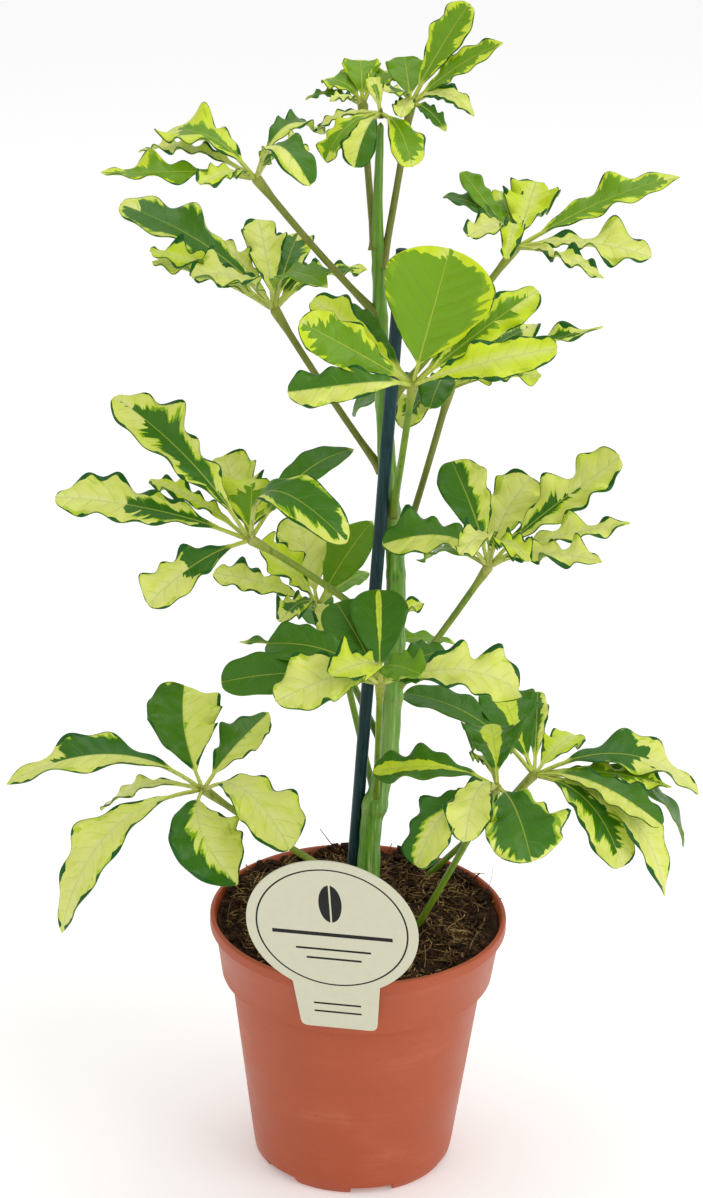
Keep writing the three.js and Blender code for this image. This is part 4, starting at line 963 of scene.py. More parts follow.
def add_leaflet(bm, layers, settings, hub, face, row, end, seed, draw):
    """One blade with its midrib, from the hub outwards."""
    turn, rise, reach, width, lift_in, lift_out, sweep, ripple, look = row
    turn, rise = radians(turn), radians(rise)
    way = Vector((cos(rise) * cos(turn), cos(rise) * sin(turn), sin(rise)))
    up = (face - way * face.dot(way)).normalized()
    aside = up.cross(way) * sweep * reach
    points = [
        hub,
        hub + way * reach / 3 + up * lift_in * reach + aside,
        hub + way * reach * 2 / 3 + up * lift_out * reach + aside,
        hub + way * reach,
    ]
    phases = [draw() * tau, draw() * tau]
    waves = 1.6 + 0.8 * draw()
    frill_waves = [waves * (1.7 + 0.5 * phases[0] / 6.3), waves * (1.9 + 0.5 * phases[1] / 6.3)]
    rows = fine(round(between(reach * 0.85, 22, 56)), 14)
    start = STALK_ROWS / rows

    def frame_at(along):
        forward = (bend(points, min(along + 0.004, 1)) - bend(points, max(along - 0.004, 0))).normalized()
        side = up.cross(forward).normalized()
        return bend(points, along), side, forward.cross(side)

    core_plus, core_minus, margin, core_reach, deep, creamy, streak, band = (*LOOKS[look], 0, 0)[:8]
    grid = bmesh.ops.create_grid(bm, x_segments=14 if width > 14 else 10, y_segments=rows, size=1)["verts"]
    for vert in grid:
        across, step = -vert.co.x, (vert.co.y + 1) / 2
        part = 1 - (1 - max(step - start, 0) / (1 - start)) ** ROW_CROWDING
        along = STALK_SHARE * (step / start if step < start else 1 + (1 / STALK_SHARE - 1) * part)
        place, side, normal = frame_at(along)
        blade = blade_width(part, end)
        narrow = STALK_HALF_WIDTH + (TIP_HALF_WIDTH - STALK_HALF_WIDTH) * part
        half = narrow + (width / 2 - narrow) * blade
        edge = 0 if across > 0 else 1
        wave = sin(tau * waves * part + phases[edge]) * ripple * blade * across ** 2
        ruffle = sin(tau * frill_waves[edge] * part + 3 * phases[1 - edge]) * ripple * blade * abs(across) ** 3
        lifted = (sqrt(across ** 2 + 0.02) - 0.14) * half * settings.fold
        frill = ruffle * settings.frill * max(width, 16)
        vert.co = place + side * across * half * (1 + RIPPLE_WIDTH * wave + settings.scallop * ruffle)
        vert.co += normal * (lifted + wave * width * RIPPLE_HEIGHT + frill)
        vert[layers["blade_place"]] = (part * reach * (1 - STALK_SHARE), across * half, half, part)
        vert[layers["blade_look"]] = (core_plus, core_minus, margin, core_reach)
        vert[layers["blade_tint"]] = (deep, creamy, streak, seed)
        vert[layers["blade_under"]] = (0, band, 0, 0)
    for vert in solid_sheet(bm, faces_of(grid), settings.thickness):
        vert[layers["blade_under"]] = (1, band, 0, 0)

    def rib_place(step):
        place, side, normal = frame_at(step * 0.96)
        return place - normal * (settings.thickness * 0.5 + settings.rib_radius * 0.8 * (1 - step))

    def rib_radius(step, angle):
        ends = sqrt(between(step * 24, 0.2, 1) * between((1 - step) * 24, 0.2, 1))
        return (settings.rib_radius * (1 - step) ** 0.8 + 0.1) * ends

    for vert in tube_along(bm, rib_place, rib_radius, 8, fine(24, 10), material=1):
        vert[layers["stalk_look"]] = (0, 1.8 if creamy > 0.6 else 1.4, 0, seed)


def add_leaf(settings, name, leaf, index):
    """A leaf: its leaflets around the hub, and its stalk."""
    bm = bmesh.new()
    names = ("blade_place", "blade_look", "blade_tint", "blade_under", "stalk_look")
    for label in names:
        bm.verts.layers.float_color.new(label)
    layers = {label: bm.verts.layers.float_color[label] for label in names}
    draw = drawer(LEAF_SEED + LEAF_SEED_STEP * index)
    hub, foot, face = Vector(leaf["hub"]), Vector(leaf["foot"]), Vector(leaf["face"]).normalized()
    for place, row in enumerate(leaf["leaflets"]):
        end = POINTED_END if place in leaf.get("pointed", ()) else ROUNDED_END
        seed = 0.07 + (index * 0.37 + place * 0.13) % 0.9
        add_leaflet(bm, layers, settings, hub, face, row, end, seed, draw)

    middle = foot.lerp(hub, 0.5) + Vector(leaf.get("bow", (0, 0, -STALK_SAG)))
    points = [foot, middle, hub + (hub - middle).normalized() * HUB_DEPTH]
    span = (points[2] - foot).length

    def way(step):
        return 1 - (1 - step) ** STALK_CROWDING

    def radius_at(step, angle):
        step = way(step)
        dome = sqrt(between((1 - step) * span / 2, 0.04, 1))
        swell = 0.06 * sin(3 * angle + 2 * step) + 0.1 * on_line(((0, 0), (0.4, 0.5), (1, 0)), step)
        return on_line(STALK_RINGS, step) * (1 + swell) * dome

    rows = round(between(span, 16, 60))
    pale = {"fresh": 0.1, "pale": 0.5, "deep": 0.2}[leaf["tone"]]
    aged = 0.45 if leaf["tone"] == "deep" and hub.z > 250 else between((hub.z - 375) / 110, 0, 0.5)
    for vert in tube_along(bm, lambda step: bend(points, way(step)), radius_at, 14, rows, material=1):
        part = between((vert.co - foot).length / span, 0, 1)
        brown = on_line(((0, 0.55), (0.08, 0.1), (0.2, 0), (0.95, 0), (1, 0.2)), part)
        paler = pale + on_line(((0, 0), (0.8, 0), (1, 1.1)), part)
        worn = aged * on_line(((0, 1), (0.85, 1), (1, 0.2)), part)
        vert[layers["stalk_look"]] = (part * span, paler, max(brown, worn), index * 0.17)
    materials = [bpy.data.materials[f"blade_{leaf['tone']}"], bpy.data.materials["leaf_stalk"]]
    return finished(f"{name}_fine", bm, materials, f"leaf_{name}")


def stem_centre(height):
    """The stem's centre at a height, on a smooth line through its given places."""
    last = len(STEM_LINE) - 1
    index = next((place for place in range(last) if height <= STEM_LINE[place + 1][2]), last - 1)
    low, high = STEM_LINE[index], STEM_LINE[index + 1]
    before, after = STEM_LINE[max(index - 1, 0)], STEM_LINE[min(index + 2, last)]
    span = high[2] - low[2]
    part = between((height - low[2]) / span, 0, 1)
    found = []
    for axis in (0, 1):
        slope_low = (high[axis] - before[axis]) / (high[2] - before[2]) * span
        slope_high = (after[axis] - low[axis]) / (after[2] - low[2]) * span
        found.append(
            (2 * part ** 3 - 3 * part ** 2 + 1) * low[axis] + (part ** 3 - 2 * part ** 2 + part) * slope_low
            + (3 * part ** 2 - 2 * part ** 3) * high[axis] + (part ** 3 - part ** 2) * slope_high
        )
    return Vector((*found, height))


def add_stem(settings):
    """The main stem, swollen and scarred where each leaf's stalk meets it."""
    feet = [leaf["foot"][2] for leaf in LEAVES.values() if leaf["foot"][2] > 100]
    low, high = STEM_LINE[0][2] + STEM_START, STEM_LINE[-1][2]

    def radius_at(step, angle):
        height = low + (high - low) * step
        swollen = sum(exp(-((height - foot + 1) / 2.6) ** 2) for foot in feet)
        ridge = 0.035 * sin(5 * angle + height * 0.05) + 0.02 * sin(11 * angle + height * 0.11)
        wander = 0.03 * sin(height * 0.21) + 0.02 * sin(height * 0.53 + 2 * angle)
        tip = sqrt(between((high - height) / 1.5, 0.04, 1))
        return on_line(STEM_RADII, height) * (1 + 0.13 * min(swollen, 1.3) + ridge + wander) * tip

    bm = bmesh.new()
    look = bm.verts.layers.float_color.new("stem_look")
    sides, rows = fine((32, 340), (16, 120))
    for vert in tube_along(bm, lambda step: stem_centre(low + (high - low) * step), radius_at, sides, rows):
        near = max(exp(-(abs(vert.co.z - foot + 2.4) / 0.8) ** 2) for foot in feet)
        vert[look] = (near, between((vert.co.z - 330) / 90, 0, 1), 0, 0)
    material, w = new_material("stem_green", Roughness=0.4)
    near, young, _, _ = w.attribute("stem_look")
    streaks = w.noise(w.placed(0.75, 0.75, 0.035), 4, 0.6)
    patches = w.noise(w.placed(0.12, 0.12, 0.03), 2)
    specks = w.noise(w.placed(0.9, 0.9, 0.5), 3)
    bark = w.group(
        "streaks", base=settings.green, light=settings.pale, dark=settings.dark, streaks=streaks,
        patches=patches,
    )
    tinted = w.blend(near * specks.rise(0.4, 0.6, 0, 0.55), bark["Colour"], settings.scar)
    tinted = w.blend(young * 0.5, tinted, settings.stalk)
    tinted = w.blend(specks.rise(0.62, 0.7, 0, 0.4), tinted, settings.scar)
    w.coat(tinted, None, streaks + specks * 0.3, 0.6, 0.5)
    return finished("stem_fine", bm, [material], "stem")


def add_cane(settings):
    """The coated cane; the last two rows both lie at its top, and the last is drawn in a little."""
    foot, top = Vector(CANE_FOOT), Vector(CANE_TOP)
    sides, rows = fine((40, 120), (16, 30))

    def place_at(step):
        return foot.lerp(top, min(step * (rows / (rows - 1)), 1))

    def radius_at(step, angle):
        edge = CANE_EDGE if step > 0.999 else 1
        return settings.radius * edge * (1 + 0.012 * sin(7 * angle) + 0.008 * sin(40 * step + angle))

    bm = bmesh.new()
    made = tube_along(bm, place_at, radius_at, sides, rows)
    caps = [face for face in faces_of(made) if len(face.verts) > 6 and face.calc_center_median().z > top.z / 2]
    bmesh.ops.inset_region(bm, faces=caps, thickness=settings.radius * CUT_RIM, depth=-CUT_DEPTH)
    for face in caps:
        face.material_index = 1
    coated, w = new_material("cane_coating", Roughness=0.42, Specular_IOR_Level=0.25)
    streaks = w.noise(w.placed(1.3, 1.3, 0.03), 4, 0.65)
    patches = w.noise(w.placed(0.08, 0.08, 0.05), 2)
    coating = w.group(
        "streaks", base=settings.coating, light=settings.light, dark=(0.005, 0.008, 0.01), streaks=streaks,
        patches=patches,
    )
    w.coat(coating["Colour"], None, streaks, 0.5, 0.3)
    cut, w = new_material("cane_cut", Roughness=0.7)
    w.coat(w.blend(w.noise(w.placed(1.2, 1.2, 1.2), 3), settings.cut, settings.light))
    return finished("cane_fine", bm, [coated, cut], "cane")


def label_outline(settings, angle):
    """A point of the plate's outline; angles below the tab's shoulders run down and across the tab."""
    wide, high = settings.width / 2, settings.height / 2
    across, narrow = settings.tab_top / 2, settings.tab_foot_width / 2
    drop = TAB_FOOT - LABEL_FOOT
    shoulder = acos(across / wide)
    turned = (angle + shoulder) % tau
    around = pi + 2 * shoulder
    if turned <= around:
        return wide * cos(turned - shoulder), high + high * sin(turned - shoulder)
    path = [(-across, high - high * sin(shoulder)), (-narrow, drop + TAB_CORNER)]
    for step in (0.25, 0.5, 0.75):
        path.append((-narrow + TAB_CORNER * step ** 2, drop + TAB_CORNER * (1 - step) ** 2))
    path.append((-narrow + TAB_CORNER, drop))
    path += [(-x, y) for x, y in reversed(path)]
    lengths = [dist(first, second) for first, second in zip(path, path[1:])]
    run = (turned - around) / (tau - around) * sum(lengths)
    for first, second, size in zip(path, path[1:], lengths):
        if run <= size:
            return tuple(a + (b - a) * run / size for a, b in zip(first, second))
        run -= size
    return path[-1]


def turning(angle, axis):
    """A turn by some degrees about an axis."""
    return Matrix.Rotation(radians(angle), 4, axis)


def add_label(pot, settings):
    """The plate with its tab, stood up and leaned about the lip, and the tongue that hooks it there."""
    bm = bmesh.new()
    face_map = bm.loops.layers.uv.new("face")
    ring = bmesh.ops.create_circle(bm, cap_ends=True, segments=fine(360, 90), radius=1)["verts"]
    for vert in ring:
        vert.co = (*label_outline(settings, atan2(vert.co.y, vert.co.x)), 0)
    back = bmesh.ops.extrude_face_region(bm, geom=bm.faces[:], use_keep_orig=True)["geom"]
    bmesh.ops.translate(bm, vec=(0, 0, settings.thickness), verts=verts_in(back))
    bmesh.ops.recalc_face_normals(bm, faces=bm.faces[:])
    edges = [edge for edge in bm.edges if edge.calc_face_angle(0) > 1]
    bmesh.ops.bevel(
        bm, geom=edges, offset=LABEL_BEVEL, segments=2, profile=0.5, affect="EDGES", material=-1
    )
    for face in bm.faces:
        face.normal_update()
        for loop in face.loops:
            loop[face_map].uv = UNMARKED if face.normal.z < -0.5 else loop.vert.co.xy * FACE_SCALE
    pivot = pot.height - pot.lip_depth
    stood = Matrix.Translation((0, 0, pivot)) @ turning(90 + LABEL_LEAN, "X") @ turning(-LABEL_ROLL, "Z")
    stood @= Matrix.Translation((0, LABEL_FOOT - pivot, 0))
    bmesh.ops.transform(bm, matrix=stood, verts=bm.verts[:])

    level = pot.height + GAP + settings.thickness / 2
    corner = TONGUE_REACH - settings.thickness / 2
    path = [(LINTEL_FRONT, level), (corner - TONGUE_BEND, level)]
    path += [(corner - TONGUE_BEND * (1 - sin(a)), level - TONGUE_BEND * (1 - cos(a))) for a in (0.4, 0.8, 1.2)]
    path += [(corner, level - TONGUE_BEND), (corner, TONGUE_FOOT)]
    strip = bmesh.ops.create_grid(bm, x_segments=4, y_segments=len(path) - 1, size=1)["verts"]
    for vert in strip:
        vert.co = (vert.co.x * TONGUE_WIDTH / 2, *path[round((vert.co.y + 1) / 2 * (len(path) - 1))])
    faces = faces_of(strip)
    for face in faces:
        for loop in face.loops:
            loop[face_map].uv = UNMARKED
    made = solid_sheet(bm, faces, settings.thickness)
    bmesh.ops.recalc_face_normals(bm, faces=faces_of(strip + made))

    standing = Matrix.Translation((0, -(pot.lip_radius + GAP + LABEL_STANDOFF), 0))
    placed = turning(LABEL_TURN + 90, "Z") @ standing @ turning(-LABEL_YAW, "Z")
    bmesh.ops.transform(bm, matrix=placed, verts=bm.verts[:])
    return finished("label_fine", bm, [label_material(settings)], "label", smooth=False)


def label_material(settings):
    """A plain board with a ring line, rules and a leaf mark on its front."""
    material, w = new_material("label_board", Specular_IOR_Level=0.2)
    x, y, _ = (part * (1 / FACE_SCALE) for part in w.parts(w.made("ShaderNodeUVMap", {}, uv_map="face")))
    high, wide = settings.height / 2, settings.width / 2

    def oval(half_width, half_height, middle):
        across, upwards = x / half_width, (y - middle) / half_height
        return w.math("SQRT", across * across + upwards * upwards)

    def rule(left, right, low, depth):
        return (x > left) * (x < right) * ((y > low) * (y < low + depth))

    drawn = abs(oval(wide - RING_INSET, high - RING_INSET, high) - 1) < RING_LINE
    for row in LABEL_RULES:
        drawn = w.math("MAXIMUM", drawn, rule(*row))
    drawn = w.math("MAXIMUM", drawn, (oval(*LEAF_MARK) < 1) * (1 - (abs(x) < LEAF_MARK_VEIN)))
    mottled = w.noise(w.placed(0.3, 0.3, 0.3), 4)
    board = w.blend(mottled.rise(0.35, 0.7, 0, 0.25), settings.board, (0.62, 0.6, 0.46))
    w.coat(w.blend(drawn, board, settings.ink), mottled.rise(0.3, 0.7, 0.42, 0.58), mottled, 0.15, 0.4)
    return material


def pot_section(pot):
    """The pot's half section, from the middle of the underside round to the middle of the inside floor."""
    ring = [pot.recess_inner + DRAIN_RING + index * DRAIN_RING_STEP for index in range(DRAIN_RINGS)]
    lip_foot = pot.height - pot.lip_depth
    return [
        (0, 0),
        (pot.recess_inner, 0),
        (pot.recess_inner + 1, pot.recess),
        *((radius, pot.recess) for radius in ring),
        (pot.recess_outer - 1, pot.recess),
        (pot.recess_outer, 0),
        (pot.foot_radius, 0),
        (pot.foot_radius + 2, pot.foot_rounding * 0.3),
        (pot.body_foot_radius - 0.4, pot.foot_rounding * 0.7),
        (pot.body_foot_radius, pot.foot_rounding),
        (pot.body_top_radius - 0.1, pot.body_top - 1),
        (pot.body_top_radius, pot.body_top),
        (pot.collar_foot_radius - 0.8, pot.collar_foot - 1),
        (pot.collar_foot_radius - 0.1, pot.collar_foot - 0.6),
        (pot.collar_foot_radius, pot.collar_foot),
        (pot.collar_top_radius, lip_foot - 1),
        (pot.collar_top_radius + 0.3, lip_foot - 0.5),
        (pot.lip_radius - 0.4, lip_foot),
        (pot.lip_radius, lip_foot + 0.5),
        *(
            (pot.lip_radius - LIP_ROUNDING * (1 - sin(angle)), pot.height - LIP_ROUNDING * (1 - cos(angle)))
            for angle in (1.57, 1.2, 0.8, 0.4, 0)
        ),
        (pot.lip_radius - 1.6, pot.height),
        (pot.lip_radius - 2, pot.height - 0.4),
        (pot.collar_top_radius - pot.wall, lip_foot - 1),
        (pot.collar_foot_radius - pot.wall, pot.collar_foot + 1),
        (pot.body_top_radius - pot.wall, pot.body_top - 1),
        (pot.body_foot_radius - pot.wall, pot.foot_rounding + 2),
        (pot.body_foot_radius - pot.wall - 2, pot.floor_top),
        *((radius, pot.floor_top) for radius in reversed(ring)),
        (0, pot.floor_top),
    ]


def spun(bm, section, steps):
    """A closed solid of revolution from a half section that starts and ends on the axis."""
    verts = [bm.verts.new((radius, 0, height)) for radius, height in section]
    edges = [bm.edges.new(pair) for pair in zip(verts, verts[1:])]
    bmesh.ops.spin(
        bm, geom=verts + edges, cent=(0, 0, 0), axis=(0, 0, 1), dvec=(0, 0, 0), angle=tau, steps=steps,
        use_merge=True,
    )
    bmesh.ops.remove_doubles(bm, verts=bm.verts[:], dist=1e-4)
    bmesh.ops.recalc_face_normals(bm, faces=bm.faces[:])


def cut_drains(bm, pot):
    """Opens the drain holes through the ring of the floor and gives each a round wall."""
    for index in range(pot.drains):
        turn = index * tau / pot.drains
        centre = pot.drain_circle * Vector((cos(turn), sin(turn)))
        inside = [
            face for face in bm.faces
            if abs(face.normal.z) > 0.99 and (face.calc_center_median().xy - centre).length < pot.drain_radius
        ]
        bmesh.ops.delete(bm, geom=inside, context="FACES")
        rim = [edge for edge in bm.edges if edge.is_boundary]
        for vert in dict.fromkeys(vert for edge in rim for vert in edge.verts):
            vert.co.xy = centre + (vert.co.xy - centre).normalized() * pot.drain_radius
        bmesh.ops.bridge_loops(bm, edges=rim)


def raise_notches(bm, pot, steps):
    """Lifts the foot in the notches; the two columns at each notch's side are drawn together for its wall."""
    inner = pot.recess_outer - 2
    low = [vert for vert in bm.verts if vert.co.xy.length > inner and vert.co.z < pot.notch_height + 0.01]
    for index in range(pot.notches):
        middle = radians(NOTCH_TURN) + index * tau / pot.notches
        for vert in low:
            radius = vert.co.xy.length
            angle = (atan2(vert.co.y, vert.co.x) - middle + pi) % tau - pi
            reach = asin(pot.notch_width / 2 / radius)
            off = abs(angle) - reach
            if abs(off) < tau / steps:
                turned = middle + copysign(reach + copysign(0.002, off), angle)
                vert.co.xy = radius * cos(turned), radius * sin(turned)
            if off < 0:
                vert.co.z = pot.notch_height


def add_pot(pot):
    """The nursery pot, with sharp edges kept and dust on its terracotta."""
    bm = bmesh.new()
    steps = fine(192, 64)
    spun(bm, pot_section(pot), steps)
    if FINE:
        cut_drains(bm, pot)
        raise_notches(bm, pot, steps)
    bmesh.ops.recalc_face_normals(bm, faces=bm.faces[:])
    for edge in bm.edges:
        edge.smooth = edge.calc_face_angle(0) < radians(35)
    material, w = new_material("pot_terracotta", Specular_IOR_Level=0.35)
    broad = w.noise(w.placed(0.03, 0.03, 0.05), 4)
    rings = w.noise(w.placed(0.012, 0.012, 0.8), 3)
    specks = w.noise(w.placed(0.55, 0.55, 0.55), 6, 0.7)
    scratches = w.noise(w.placed(0.06, 0.06, 0.9), 5, 0.7)
    plastic = w.group(
        "streaks", base=pot.terracotta, light=pot.dusty, dark=pot.shaded,
        streaks=rings * 0.12 + (broad * 0.28 + 0.29), patches=w.mid(0.55, broad, 0.5),
    )
    dusted = w.blend(specks.rise(0.6, 0.68, 0, 0.14), plastic["Colour"], pot.dusty)
    dusted = w.blend(specks.rise(0.42, 0.34, 0, 0.3), dusted, pot.shaded)
    dusted = w.blend(scratches.rise(0.66, 0.74, 0, 0.1), dusted, pot.dusty)
    w.coat(dusted, broad.rise(0.3, 0.7, 0.34, 0.5), specks + rings * 0.5, 0.12, 0.4)
    return finished("pot_fine", bm, [material], "pot")


def in_batches(bm, amount, add_one):
    """Adds many small parts a few at a time, since each mesh operator visits the whole of its mesh."""
    for first in range(0, amount, BATCH):
        small = bmesh.new()
        for _ in range(min(BATCH, amount - first)):
            add_one(small)
        mesh = bpy.data.meshes.new("batch")
        small.to_mesh(mesh)
        small.free()
        bm.from_mesh(mesh)
        bpy.data.meshes.remove(mesh)


def add_soil(pot, settings):
    """The potting soil: a body with a rough top, crumbs, loose fibres and what stands out of them."""
    draw = drawer(LUMP_SEED)
    lumps = [(draw() * 0.18, draw() * 0.18, draw() * 6.3, draw()) for _ in range(7)]
    draws = random.Random(SOIL_SEED)
    rim = pot.collar_top_radius - pot.wall
    rings, steps = fine((52, 200), (10, 48))

    def surface(x, y):
        lifted = sum(d * sin(a * x + b * y + c) for a, b, c, d in lumps) / 3
        return Vector((x, y, settings.top + settings.bump * lifted + settings.tilt * y))

    bm = bmesh.new()
    spun(bm, [
        (0, pot.floor_top + GAP),
        (pot.body_foot_radius - pot.wall - 2.4, pot.floor_top + GAP),
        (pot.body_foot_radius - pot.wall - 0.5, pot.foot_rounding + 2.3),
        (pot.body_top_radius - pot.wall - 0.5, pot.body_top - 1),
        (pot.collar_foot_radius - pot.wall - 0.5, pot.collar_foot + 1.4),
        (rim - 0.5, pot.height - pot.lip_depth - 1),
        (rim + 0.3, settings.top - 0.6),
        *(((rim - 0.2) * ring / rings, settings.top) for ring in range(rings, -1, -1)),
    ], steps)
    for vert in bm.verts:
        if vert.co.z < settings.top - 0.1:
            continue
        x, y = vert.co.xy
        rough = sum(
            noise.noise(Vector((x * pitch, y * pitch, 3 + 7 * pitch))) * rise for pitch, rise in SOIL_ROUGHNESS
        )
        vert.co.z = surface(x, y).z + rough * between((rim - vert.co.xy.length) / 4, 0.15, 1) - 0.4

    def drawn(least, more, rareness):
        return least + more * draws.random() ** rareness

    def on_soil(reach=1):
        radius, angle = rim * SOIL_REACH * reach * sqrt(draws.random()), draws.uniform(0, tau)
        return surface(radius * cos(angle), radius * sin(angle))

    crumbs = [on_soil() for _ in range(fine(settings.clumps, 60))]
    for _ in range(fine(settings.heaps, 10)):
        angle, radius = draws.uniform(*HEAP_TURNS), rim - HEAP_WIDTH * draws.random()
        heaped = HEAP_REST + sum(
            high * exp(-((angle - middle) / spread) ** 2) for high, middle, spread in SOIL_HEAPS
        )
        place = surface(radius * cos(angle), radius * sin(angle))
        crumbs.append(place + Vector((0, 0, draws.uniform(0.2, heaped))))
    waiting = iter(crumbs)

    def crumb(small):
        size = drawn(*CRUMB_RADIUS)
        place = next(waiting) + Vector((0, 0, draws.uniform(-0.3, 0.5) * size))
        squash = Vector((draws.uniform(0.6, 1.3), draws.uniform(0.6, 1.3), draws.uniform(0.5, 0.9)))
        for vert in bmesh.ops.create_icosphere(small, subdivisions=1, radius=size)["verts"]:
            vert.co = vert.co * squash * draws.uniform(0.6, 1.3) + place

    def fibre(small, start, turn, reach, lift, bow, thick, kind):
        way = Vector((cos(turn), sin(turn), lift)).normalized()
        aside = Vector((-way.y, way.x, 0)) * bow * reach
        points = [start, start + way * reach / 2 + aside, start + way * reach + Vector((0, 0, -abs(bow) * 3))]
        tube_along(
            small, lambda step: bend(points, step), lambda step, angle: thick * (1.15 - step * 0.6), 4, 6,
            material=kind,
        )

    def loose_fibre(kind, thickness):
        def add_one(small):
            start = on_soil(0.98) + Vector((0, 0, draws.uniform(-0.2, 2)))
            reach, turn = drawn(*FIBRE_REACH), draws.uniform(0, tau)
            end = start + Vector((cos(turn), sin(turn), 0)) * reach
            if end.xy.length > rim - 2:
                turn += pi
            lift = draws.uniform(-0.08, 0.16) if draws.random() < 0.85 else draws.uniform(0.3, 0.9)
            thick = drawn(*thickness)
            fibre(small, start, turn, reach, lift, draws.uniform(-0.6, 0.6), thick, kind)
        return add_one

    in_batches(bm, len(crumbs), crumb)
    in_batches(bm, fine(settings.straws, 20), loose_fibre(1, STRAW_RADIUS))
    in_batches(bm, fine(settings.roots, 20), loose_fibre(2, ROOT_RADIUS))
    for x, y, turn, *shape in SOIL_STICKS:
        fibre(bm, surface(x, y) - Vector((0, 0, 0.5)), radians(turn), *shape)
    # The peat and the roots darken towards the painted shade of the soil's hollows; the straws darken towards
    # the root colour.
    materials = [
        soil_material("soil_peat", settings.peat, settings.peat_painted_shade, settings.root),
        soil_material("soil_straw", settings.straw, settings.root, settings.straw),
        soil_material("soil_root", settings.root, settings.peat_painted_shade, settings.straw),
    ]
    return finished("soil_fine", bm, materials, "soil", smooth=False)


def soil_material(name, base, dark, light):
    """Mottled and fibrous, for the peat, the straws or the roots."""
    material, w = new_material(name, Roughness=0.92, Specular_IOR_Level=0.2)
    clumps = w.noise(w.placed(0.22, 0.22, 0.22), 5, 0.65)
    grains = w.noise(w.placed(1.4, 1.4, 1.4), 4, 0.7)
    strands = w.math("MAXIMUM", *(w.noise(w.placed(*way), 3, 0.6) for way in ((0.35, 2, 1.4), (2, 0.35, 1.4))))
    # Low streaks darken towards the dark colour given, which for the peat and the roots is painted shade.
    streaks = (clumps * 0.45 + grains * 0.2 + strands * 0.35 - 0.52) * 2.4 + 0.5
    earth = w.group("streaks", base=base, light=light, dark=dark, streaks=streaks, patches=grains)
    w.coat(earth["Colour"], None, streaks, 1, 1.2)
    return material


def add_stage(settings):
    """The pale floor, the soft light and the camera at the photograph's angle."""
    bm = bmesh.new()
    bmesh.ops.create_grid(bm, x_segments=1, y_segments=1, size=20)
    mesh = bpy.data.meshes.new("floor")
    bm.to_mesh(mesh)
    bm.free()
    pale, _ = new_material(
        "floor_pale", Base_Color=settings.floor, Roughness=0.95, Specular_IOR_Level=0.1,
        Emission_Color=settings.floor, Emission_Strength=0.2,
    )
    mesh.materials.append(pale)
    in_scene("floor", mesh)

    world = bpy.data.worlds.new("soft_light")
    world.use_nodes = True
    back = world.node_tree.nodes["Background"].inputs
    back["Color"].default_value = (1, 1, 1, 1)
    back["Strength"].default_value = settings.sky
    bpy.context.scene.world = world
    for side, (place, size) in LAMPS.items():
        light = bpy.data.lights.new(f"light_{side}", "AREA")
        light.energy, light.size = getattr(settings, side), size
        lamp = in_scene(light.name, light)
        lamp.location = place
        lamp.rotation_euler = (Vector(LAMPS_AIM) - lamp.location).to_track_quat("-Z", "Y").to_euler()

    camera = bpy.data.cameras.new("camera")
    camera.sensor_width = SENSOR
    camera.lens = settings.focus * SENSOR / PICTURE_HEIGHT
    camera.clip_end = 100
    viewer = in_scene("camera", camera)
    looking = Matrix.Rotation(pi / 2 - settings.down, 4, "X") @ Matrix.Rotation(settings.roll, 4, "Z")
    viewer.matrix_world = Matrix.Translation(settings.viewer) @ looking
    bpy.context.scene.camera = viewer
    bpy.context.scene.view_settings.view_transform = "Standard"


class MakePot(bpy.types.Operator):
    """Make the nursery pot"""

    bl_idname = "potted_plant.pot"
    bl_label = "Pot"
    bl_options = {"REGISTER", "UNDO"}

    def execute(self, context):
        add_pot(plain(context.scene.plant_pot))
        return {"FINISHED"}


class MakeSoil(bpy.types.Operator):
    """Make the potting soil with its crumbs and fibres"""

    bl_idname = "potted_plant.soil"
    bl_label = "Soil"
    bl_options = {"REGISTER", "UNDO"}

    def execute(self, context):
        add_soil(plain(context.scene.plant_pot), plain(context.scene.plant_soil))
        return {"FINISHED"}


class MakeStem(bpy.types.Operator):
    """Make the main stem"""

    bl_idname = "potted_plant.stem"
    bl_label = "Stem"
    bl_options = {"REGISTER", "UNDO"}

    def execute(self, context):
        add_stem(plain(context.scene.plant_stem))
        return {"FINISHED"}


class MakeCane(bpy.types.Operator):
    """Make the support cane"""

    bl_idname = "potted_plant.cane"
    bl_label = "Cane"
    bl_options = {"REGISTER", "UNDO"}

    def execute(self, context):
        add_cane(plain(context.scene.plant_cane))
        return {"FINISHED"}


class MakeLabel(bpy.types.Operator):
    """Make the plant label"""

    bl_idname = "potted_plant.label"
    bl_label = "Label"
    bl_options = {"REGISTER", "UNDO"}

    def execute(self, context):
        add_label(plain(context.scene.plant_pot), plain(context.scene.plant_label))
        return {"FINISHED"}


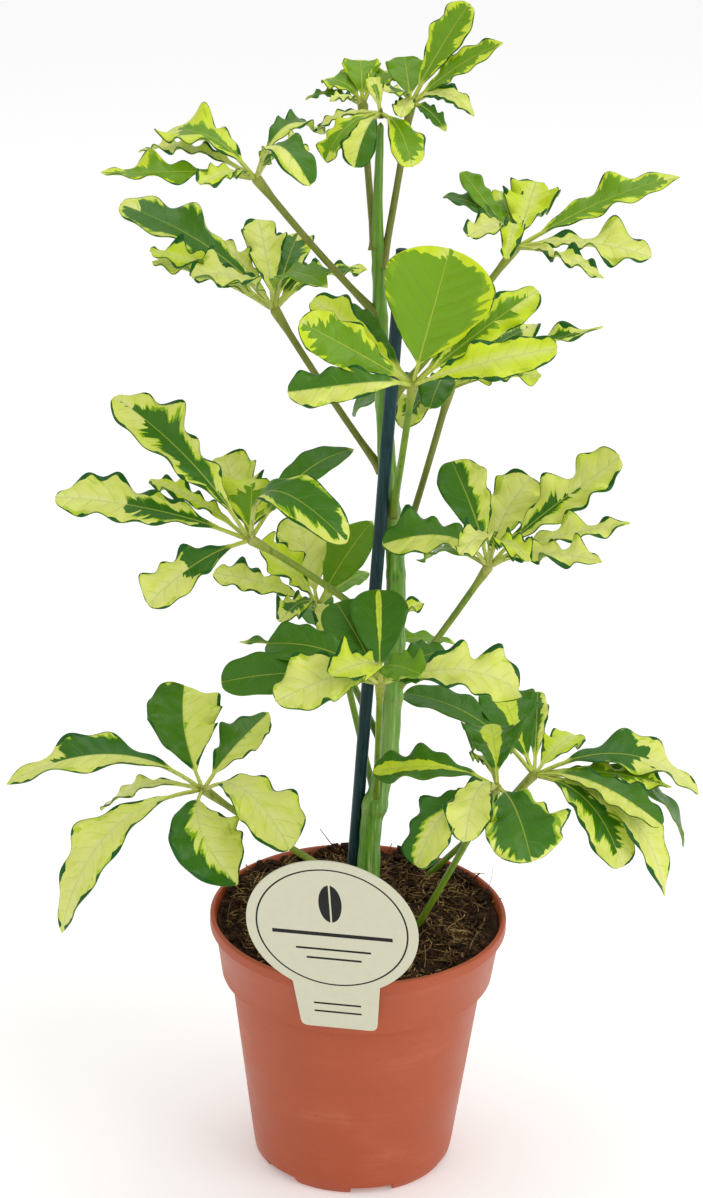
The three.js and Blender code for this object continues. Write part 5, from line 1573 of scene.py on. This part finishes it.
class MakeLeaves(bpy.types.Operator):
    """Make every leaf with its stalk"""

    bl_idname = "potted_plant.leaves"
    bl_label = "Leaves"
    bl_options = {"REGISTER", "UNDO"}

    def execute(self, context):
        blades = plain(context.scene.plant_leaf)
        blade_materials(blades)
        stalk_material(plain(context.scene.plant_stem))
        for index, (name, leaf) in enumerate(LEAVES.items()):
            add_leaf(blades, name, leaf, index)
        return {"FINISHED"}


class MakeStage(bpy.types.Operator):
    """Make the floor, the light and the camera"""

    bl_idname = "potted_plant.stage"
    bl_label = "Stage"
    bl_options = {"REGISTER", "UNDO"}

    def execute(self, context):
        add_stage(plain(context.scene.plant_stage))
        return {"FINISHED"}


class PlantPanel(bpy.types.Panel):
    """Lists the pieces of the potted plant"""

    bl_idname = "VIEW3D_PT_potted_plant"
    bl_label = "Potted plant"
    bl_space_type = "VIEW_3D"
    bl_region_type = "UI"
    bl_category = "Potted plant"

    def draw(self, context):
        for operator in OPERATORS:
            self.layout.operator(operator.bl_idname)


SETTINGS = {
    "plant_pot": PotSettings,
    "plant_soil": SoilSettings,
    "plant_stem": StemSettings,
    "plant_cane": CaneSettings,
    "plant_label": LabelSettings,
    "plant_leaf": LeafSettings,
    "plant_stage": StageSettings,
}
OPERATORS = (MakePot, MakeSoil, MakeStem, MakeCane, MakeLabel, MakeLeaves, MakeStage)


def register():
    for label, group in SETTINGS.items():
        bpy.utils.register_class(group)
        setattr(bpy.types.Scene, label, bpy.props.PointerProperty(type=group))
    for operator in OPERATORS:
        bpy.utils.register_class(operator)
    bpy.utils.register_class(PlantPanel)


def unregister():
    bpy.utils.unregister_class(PlantPanel)
    for operator in reversed(OPERATORS):
        bpy.utils.unregister_class(operator)
    for label, group in reversed(SETTINGS.items()):
        delattr(bpy.types.Scene, label)
        bpy.utils.unregister_class(group)


def main():
    register()
    bpy.ops.potted_plant.pot()
    bpy.ops.potted_plant.soil()
    bpy.ops.potted_plant.stem()
    bpy.ops.potted_plant.cane()
    bpy.ops.potted_plant.label()
    bpy.ops.potted_plant.leaves()
    bpy.ops.potted_plant.stage()


if __name__ == "__main__":
    main()
